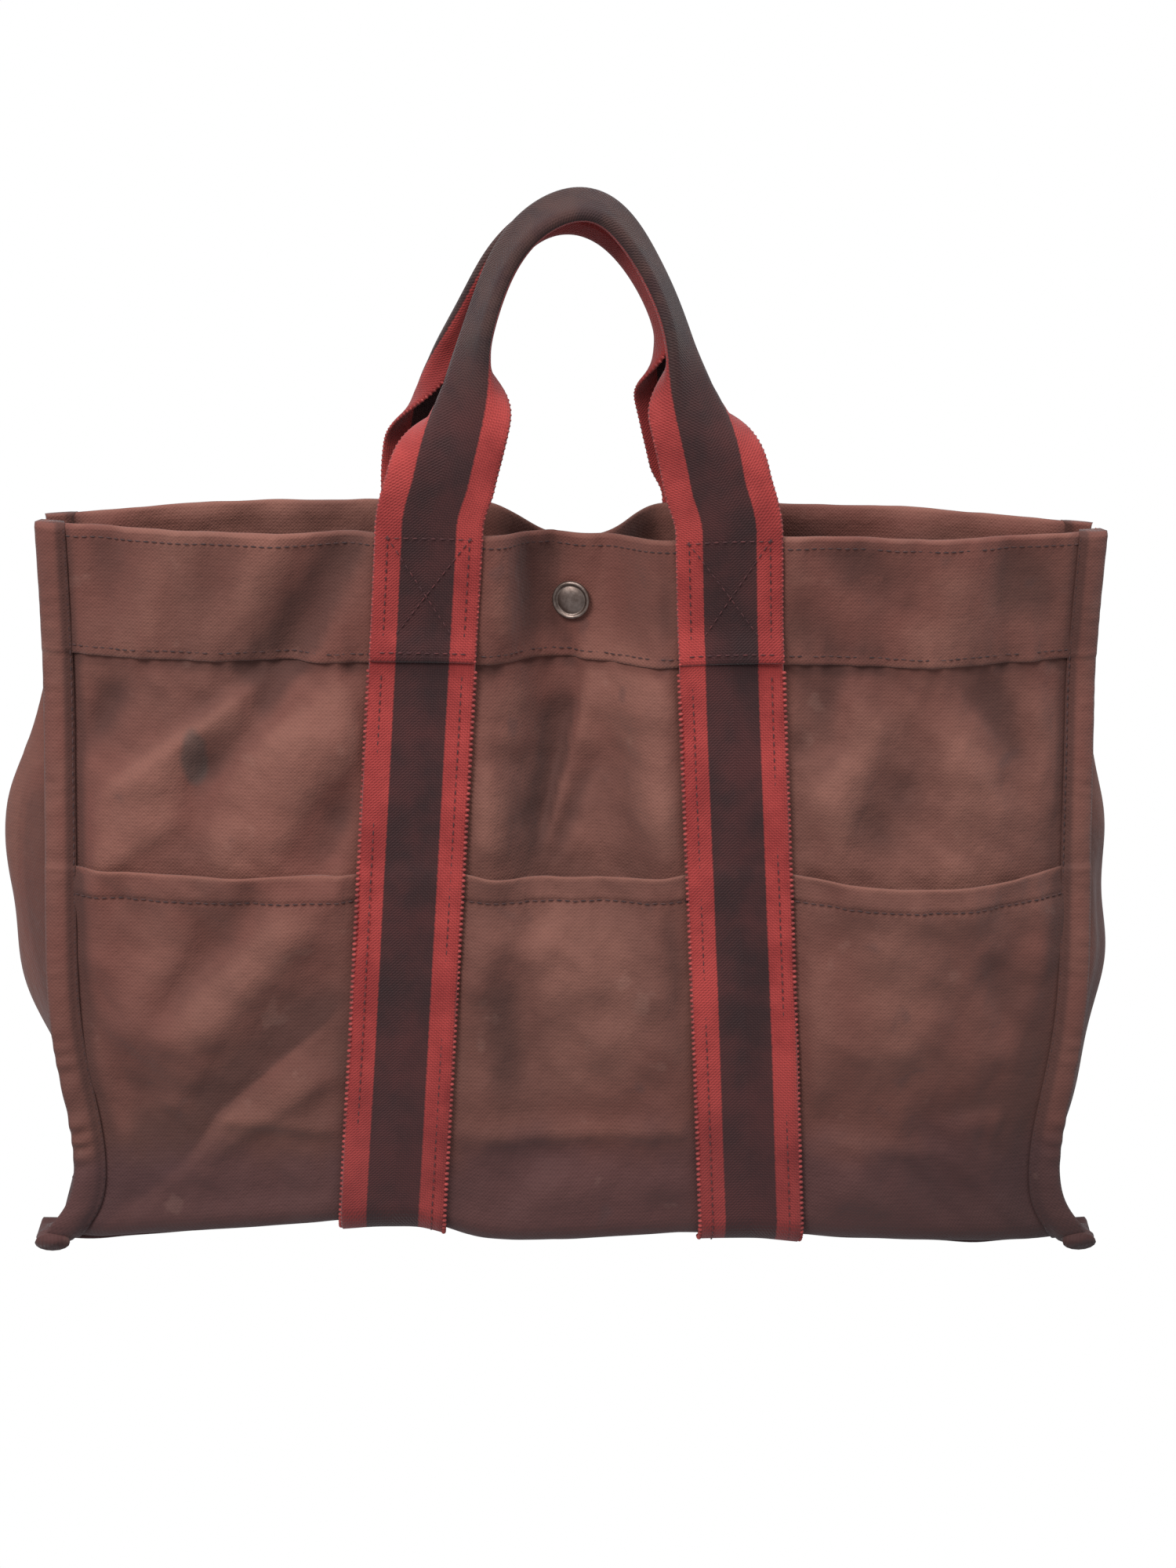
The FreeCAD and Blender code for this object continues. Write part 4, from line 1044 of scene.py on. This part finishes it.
def gusset_place(side, wall, q, v, out):
    """Points on half a gusset: q is 0 at its middle fold and 1 at the wall's edge."""
    sign = -1 if side == "left" else 1
    edge = wall.place(np.full(np.shape(v), sign * wall.turn * (HALF - 0.0055)), v, np.full(np.shape(v), -0.0015))
    edge_x, edge_y, edge_z = edge[..., 0] * sign, edge[..., 1], edge[..., 2]
    swell = np.array(LEFT_SWELL if side == "left" else RIGHT_SWELL) / 1000
    bulge = sum(np.interp(v + shift, swell[:, 0], swell[:, 1]) for shift in np.linspace(-0.018, 0.018, 9)) / 9
    hump = (1 - np.clip(q, 0, 1) ** 3) ** 0.7
    power = 5 - 2.6 * ramp(0.15, BAG_TOP, v)
    pleat = 0.052 * ramp(0.06, BAG_TOP, v) * (1 - q) ** power
    wave = 0.5 * ripple(q * 0.06, v, 90 + (side == "left") * 5 + wall.seed, 0.0035, 0.04, 0.12) * ramp(0, 0.04, v)
    wave = wave * np.sin(np.clip(q, 0, 1) * math.pi) * (1 - 0.6 * ramp(0.16, 0.22, v))
    body = edge_x + (HALF - 0.002 - edge_x) * ramp(0, 1, 1 - q) * (1 - ramp(0.16, 0.23, v))
    x = body + bulge * hump - pleat + wave + out
    sunk = 0.020 * (1 - q) * ramp(0.16, BAG_TOP, v)
    return np.stack([sign * x, edge_y * q, edge_z - sunk], axis=-1)


def build_gusset(side, wall):
    qs = np.linspace(0, 1, 46)
    vs = spread(0.0045, BAG_TOP - 0.001, 0.0022)
    grid_q, grid_v = np.meshgrid(qs, vs, indexing="ij")
    middle = gusset_place(side, wall, grid_q, grid_v, 0.0)
    swell = ripple(grid_q * 0.06, grid_v, 90 + (side == "left") * 5 + wall.seed, 0.0035, 0.04, 0.12)
    # lighter on the cloth's bulges and darker in its hollows: painted highlight and painted shade
    wear = np.clip(swell / 0.004, -0.5, 0.5)
    # rubbed lighter at the top edge; painted shade along the stitch line by the hem
    wear = wear + 0.5 * ridge_profile(grid_v, BAG_TOP, 0.002) - 0.6 * ridge_profile(grid_v, BAND_LOW + 0.004, 0.0013)
    piece = thicken(wall.name + "_" + side + "_gusset_cloth", middle, grid_q * 0.065, grid_v, CANVAS / 2,
                    CANVAS_CLOTH, wear)
    return piece


def build_gusset_hem(side, wall):
    """The doubled strip along the top of half a gusset."""
    qs = np.linspace(0, 1, 40)
    vs = spread(BAND_LOW, BAG_TOP, 0.002)
    grid_q, grid_v = np.meshgrid(qs, vs, indexing="ij")
    middle = gusset_place(side, wall, grid_q, grid_v, 0.0013)
    wear = 0.6 * ridge_profile(grid_v, BAG_TOP, 0.002) + 0.5 * ridge_profile(grid_v, BAND_LOW, 0.0015)
    return thicken(wall.name + "_" + side + "_gusset_hem", middle, grid_q * 0.065, grid_v, CANVAS / 2,
                   CANVAS_CLOTH, wear)


def join_to_wall(piece, wall):
    """Cloth that meets the base at the bag's middle plane and the wall at its edge: its placement is baked into its
    mesh.
    """
    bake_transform(piece)


def base_sag(x, y):
    """How the bottom of the bag follows the two hems."""
    hem = np.where(y < 0, FRONT.base_line(x), BACK.base_line(-x))
    return hem * ramp(0.012, 0.060, np.abs(y))


def build_base():
    ys = spread(-BASE_REACH + 0.006, BASE_REACH - 0.006, 0.0025)
    xs = spread(-HALF + 0.003, HALF - 0.003, 0.0025)
    grid_x, grid_y = np.meshgrid(xs, ys, indexing="ij")
    wave = ripple(grid_x, grid_y, 71, 0.0008)
    height = (PLY_WEB[0] + 0.0002) + wave * 0.6 + base_sag(grid_x, grid_y)
    middle = np.stack([grid_x, grid_y, height], axis=-1)
    # lighter on the cloth's rises and darker in its dips: painted highlight and painted shade, a little darker
    # overall
    wear = np.clip(wave / 0.0008, -0.6, 0.4) - 0.2
    panel = thicken("base_canvas", middle, grid_x, grid_y, CANVAS, CANVAS_CLOTH, wear)
    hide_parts("base_panel")
    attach(panel, "root")
    for side, sign in (("left", -1), ("right", 1)):
        ws = np.linspace(-WEB_WIDTH / 2 + 0.0007, WEB_WIDTH / 2 - 0.0007, 13)
        ys = spread(-BASE_REACH + 0.010, BASE_REACH - 0.010, 0.003)
        grid_w, grid_y = np.meshgrid(ws, ys, indexing="ij")
        level = WEBBING / 2 + base_sag(sign * WEB_BASE_X + grid_w, grid_y)
        middle = np.stack([sign * WEB_BASE_X + grid_w, grid_y, level], axis=-1)
        strap = thicken(side + "_base_webbing", middle, grid_w, grid_y, WEBBING / 2 - 0.0001, WEBBING_CLOTH)
        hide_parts(side + "_base_strap")
        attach(strap, "root")
        around = np.linspace(0, 2 * math.pi, 17)[:-1]
        ys = spread(-BASE_REACH - 0.004, BASE_REACH + 0.004, 0.0011)
        uneven = 1 + 0.06 * np.sin(ys * 2 * math.pi / 0.0083 + 1.3 * np.sin(ys * 230))
        uneven = uneven + 0.05 * np.sin(ys * 2 * math.pi / 0.0031)
        drawn_in = 0.004 * ramp(0.0, 0.014, BASE_REACH - np.abs(ys))[:, None]
        ends = 1 + 0.80 * ridge_profile(np.abs(ys), BASE_REACH, 0.008)
        radius = (0.0021 * uneven * ends)[:, None]
        swing = 0.0008 * np.sin(ys * 2 * math.pi / 0.031)[:, None]
        level = base_sag(np.full_like(ys, sign * HALF), ys)[:, None]
        stretch = 2.0 * radius * np.cos(around)[None, :] * 0.9
        points = np.stack([sign * (HALF - 0.0028 + 0.0010 * ends[:, None] - drawn_in + stretch + swing),
                           np.repeat(ys[:, None], len(around), axis=1),
                           0.0031 + level + 0.0034 * (ends[:, None] - 1)
                           + radius * np.sin(around)[None, :] * 0.95], axis=-1)
        flat = np.repeat(ys[:, None], len(around), axis=1)
        frayed = tube(side + "_base_edge", points, points[..., 0], flat, CANVAS_CLOTH,
                      -0.1 + 0.5 * np.sin(flat * 2 * math.pi / 0.0083))
        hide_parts(side + "_base_seam")
        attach(frayed, "root")


# ---- the snap --------------------------------------------------------------------------

def build_snap_cap(wall):
    """The pressed cap: a rolled rim, a shallow dish and a low dome, sitting a little askew."""
    profile = [(0.0, 0.00215), (0.0012, 0.00213), (0.0024, 0.00205), (0.0036, 0.0019), (0.0046, 0.0016), (0.0052, 0.00125),
               (0.0055, 0.0011), (0.0058, 0.0013), (0.0061, 0.0018), (0.0065, 0.0021), (0.0070, 0.0021), (0.0074, 0.0017),
               (CAP_RADIUS, 0.0010), (0.0073, 0.0002), (0.0062, -0.0004), (0.0030, -0.0006), (0.0, -0.0006)]
    around = 72
    points, faces = [], []
    tilt = -math.atan(SNAP_TURN)
    for r, h in profile:
        for k in range(around if r > 0 else 1):
            angle = 2 * math.pi * k / around
            x, z, y = r * math.cos(angle), r * math.sin(angle), -h
            points.append((SNAP_SHIFT + x * math.cos(tilt) - y * math.sin(tilt),
                           x * math.sin(tilt) + y * math.cos(tilt) - 0.0050, SNAP_Z + z))
    starts, count = [], 0
    for r, _ in profile:
        starts.append(count)
        count += around if r > 0 else 1
    for i in range(len(profile) - 1):
        a, b = starts[i], starts[i + 1]
        for k in range(around):
            n = (k + 1) % around
            if profile[i][0] == 0:
                faces.append((a, b + n, b + k))
            elif profile[i + 1][0] == 0:
                faces.append((a + k, a + n, b))
            else:
                faces.append((a + k, a + n, b + n, b + k))
    piece = new_mesh("snap_cap_pressed", points, faces, NICKEL)
    outward(piece)
    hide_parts("snap_cap")
    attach(piece, wall.body)


# ---- stitching -------------------------------------------------------------------------

def run(wall, points, out, placer=None):
    """A line on a wall through (x, v) places."""
    xs = np.array([p[0] for p in points])
    vs = np.array([p[1] for p in points])
    length = np.concatenate([[0], np.cumsum(np.hypot(np.diff(xs), np.diff(vs)))])
    even = np.linspace(0, length[-1], max(2, int(length[-1] / 0.0012)))
    x, v = np.interp(even, length, xs), np.interp(even, length, vs)
    if placer:
        return placer(wall, x, v, np.full_like(x, out))
    return wall.place(x, v, np.full_like(x, out))


def web_zones(wall, v):
    """The stretches of a level line that are not under the webbing."""
    inner, outer = wall.web_middle(v) - WEB_WIDTH / 2, wall.web_middle(v) + WEB_WIDTH / 2
    edge = PANEL_HALF - 0.002
    return [(-edge, -outer), (-inner, inner), (outer, edge)]


def sew_wall(wall):
    """All the stitch lines of a wall."""
    lines = []
    for a, b in web_zones(wall, BAND_LOW):
        lines.append(run(wall, [(a, BAND_LOW + 0.0036), (b, BAND_LOW + 0.0036)], 0.00325))
    for a, b in web_zones(wall, BAG_TOP):
        lines.append(run(wall, [(a, BAG_TOP - 0.0045), (b, BAG_TOP - 0.0045)], 0.00320))
    for a, b in web_zones(wall, POCKET_TOP):
        seam = POCKET_TOP - 0.0095
        lines.append(run(wall, [(a, seam), (b, seam)], PLY_POCKET[1] + 0.00035, pocket_place))
    for sign in (-1, 1):
        edge = sign * (PANEL_HALF - 0.0005)
        lines.append(run(wall, [(edge, 0.006), (edge, BAG_TOP - 0.003)], 0.0034))
    canvas_run = sew(wall.name + "_canvas_stitches", lines, CANVAS_THREAD)
    hang(canvas_run, wall)
    lines = []
    edge = WEB_WIDTH / 2 - 0.0048
    for sign in (-1, 1):
        for side in (-1, 1):
            lines.append([wall.place(sign * wall.web_middle(v) + side * edge, v, strap_out(v) + 0.00185)
                          for v in np.arange(0.002, BAND_LOW - 0.004, 0.0012)])
        low, high = BAND_LOW + 0.0052, BAG_TOP - 0.0012
        for path in ([(-1, low), (1, low)], [(-1, high), (1, high)], [(-1, low), (-1, high)], [(1, low), (1, high)],
                     [(-1, low), (1, high)], [(1, low), (-1, high)]):
            points = [(sign * float(wall.web_middle(v)) + s * edge, v) for s, v in path]
            lines.append(run(wall, points, 0.0052 + 0.0018 * (path[0][1] == path[1][1] == low)))
    webbing_run = sew(wall.name + "_webbing_stitches", lines, WEB_THREAD, length=0.0021, width=0.0005)
    hang(webbing_run, wall)
    lines = []
    for sign in (-1, 1):
        for side in (-1, 1):
            lines.append([wall.place(sign * wall.web_middle(v) + side * (WEB_WIDTH / 2 + 0.0001), v, strap_out(v) + 0.0009)
                          for v in np.arange(0.002, BAND_LOW - 0.002, 0.0012)])
    loops = sew(wall.name + "_webbing_loops", lines, PICOT_THREAD, pitch=0.0021, length=0.0013, width=0.0019)
    hang(loops, wall)


# ---- put it together -------------------------------------------------------------------

for wall in (FRONT, BACK):
    pieces = [build_panel(wall), build_band(wall), build_pocket(wall)]
    for side in ("left", "right"):
        pieces.append(build_flange(wall, side))
        strap = build_strap(wall, side)
        hang(strap, wall)
    for piece in pieces:
        if piece.name.endswith("band"):
            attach(piece, wall.body)
        else:
            hang(piece, wall)
    sew_wall(wall)

for wall, track, inset in ((FRONT, FRONT_TRACK, 0.0075), (BACK, BACK_TRACK, 0.0060)):
    for piece in build_handle(wall, track, inset):
        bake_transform(piece)

for side in ("left", "right"):
    for wall in (FRONT, BACK):
        half = build_gusset(side, wall)
        hem = build_gusset_hem(side, wall)
        if wall is FRONT:
            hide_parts(side + "_gusset")
            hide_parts(side + "_gusset_band")
        for piece in (half, hem):
            join_to_wall(piece, wall)

build_base()
build_snap_cap(FRONT)
for node in ("snap_socket", "snap_stud", "snap_back_cap", "snap_spring"):
    item = bpy.data.objects[node]
    item.data.materials.clear()
    item.data.materials.append(NICKEL)


# ---- light, backdrop and camera --------------------------------------------------------

world = bpy.data.worlds.new("plain_room")
bpy.context.scene.world = world
world.use_nodes = True
tree = world.node_tree
tree.nodes.clear()
output = tree.nodes.new("ShaderNodeOutputWorld")
path = tree.nodes.new("ShaderNodeLightPath")
seen = tree.nodes.new("ShaderNodeBackground")
seen.inputs["Color"].default_value = (1.0, 1.0, 1.0, 1)
seen.inputs["Strength"].default_value = 1.0
room = tree.nodes.new("ShaderNodeBackground")
room.inputs["Color"].default_value = (0.92, 0.95, 1.0, 1)
room.inputs["Strength"].default_value = 0.50
mix = tree.nodes.new("ShaderNodeMixShader")
tree.links.new(path.outputs["Is Camera Ray"], mix.inputs[0])
tree.links.new(room.outputs[0], mix.inputs[1])
tree.links.new(seen.outputs[0], mix.inputs[2])
tree.links.new(mix.outputs[0], output.inputs["Surface"])


def lamp(name, place, target, size, power, colour=(1, 1, 1)):
    light = bpy.data.lights.new(name, "AREA")
    light.size = size
    light.energy = power
    light.color = colour
    item = bpy.data.objects.new(name, light)
    item.location = place
    item.rotation_euler = (Vector(target) - Vector(place)).to_track_quat("-Z", "Y").to_euler()
    bpy.context.scene.collection.objects.link(item)


lamp("window", (-0.85, -1.15, 1.5), (0, 0, 0.15), 0.7, 28)
lamp("ceiling", (0.3, -0.3, 1.8), (0, 0, 0.1), 0.9, 18)

camera_data = bpy.data.cameras.new("camera")
camera_data.sensor_fit = "VERTICAL"
camera_data.sensor_height = 36
camera_data.lens = 50.4
camera_data.clip_start = 0.01
camera = bpy.data.objects.new("camera", camera_data)
bpy.context.scene.collection.objects.link(camera)
pitch, yaw, roll = math.radians(19.55), math.radians(-3.17), math.radians(1.19)
camera.location = (-0.0393, -0.8265, 0.4595)
ahead = Vector((-math.sin(yaw) * math.cos(pitch), math.cos(yaw) * math.cos(pitch), -math.sin(pitch)))
across = Vector((math.cos(yaw), math.sin(yaw), 0))
upward = Vector((-math.sin(yaw) * math.sin(pitch), math.cos(yaw) * math.sin(pitch), math.cos(pitch)))
image_x = across * math.cos(roll) + upward * math.sin(roll)
image_y = -across * math.sin(roll) + upward * math.cos(roll)
camera.rotation_euler = Matrix((image_x, image_y, -ahead)).transposed().to_euler()
bpy.context.scene.camera = camera
bpy.context.scene.view_settings.view_transform = "Standard"
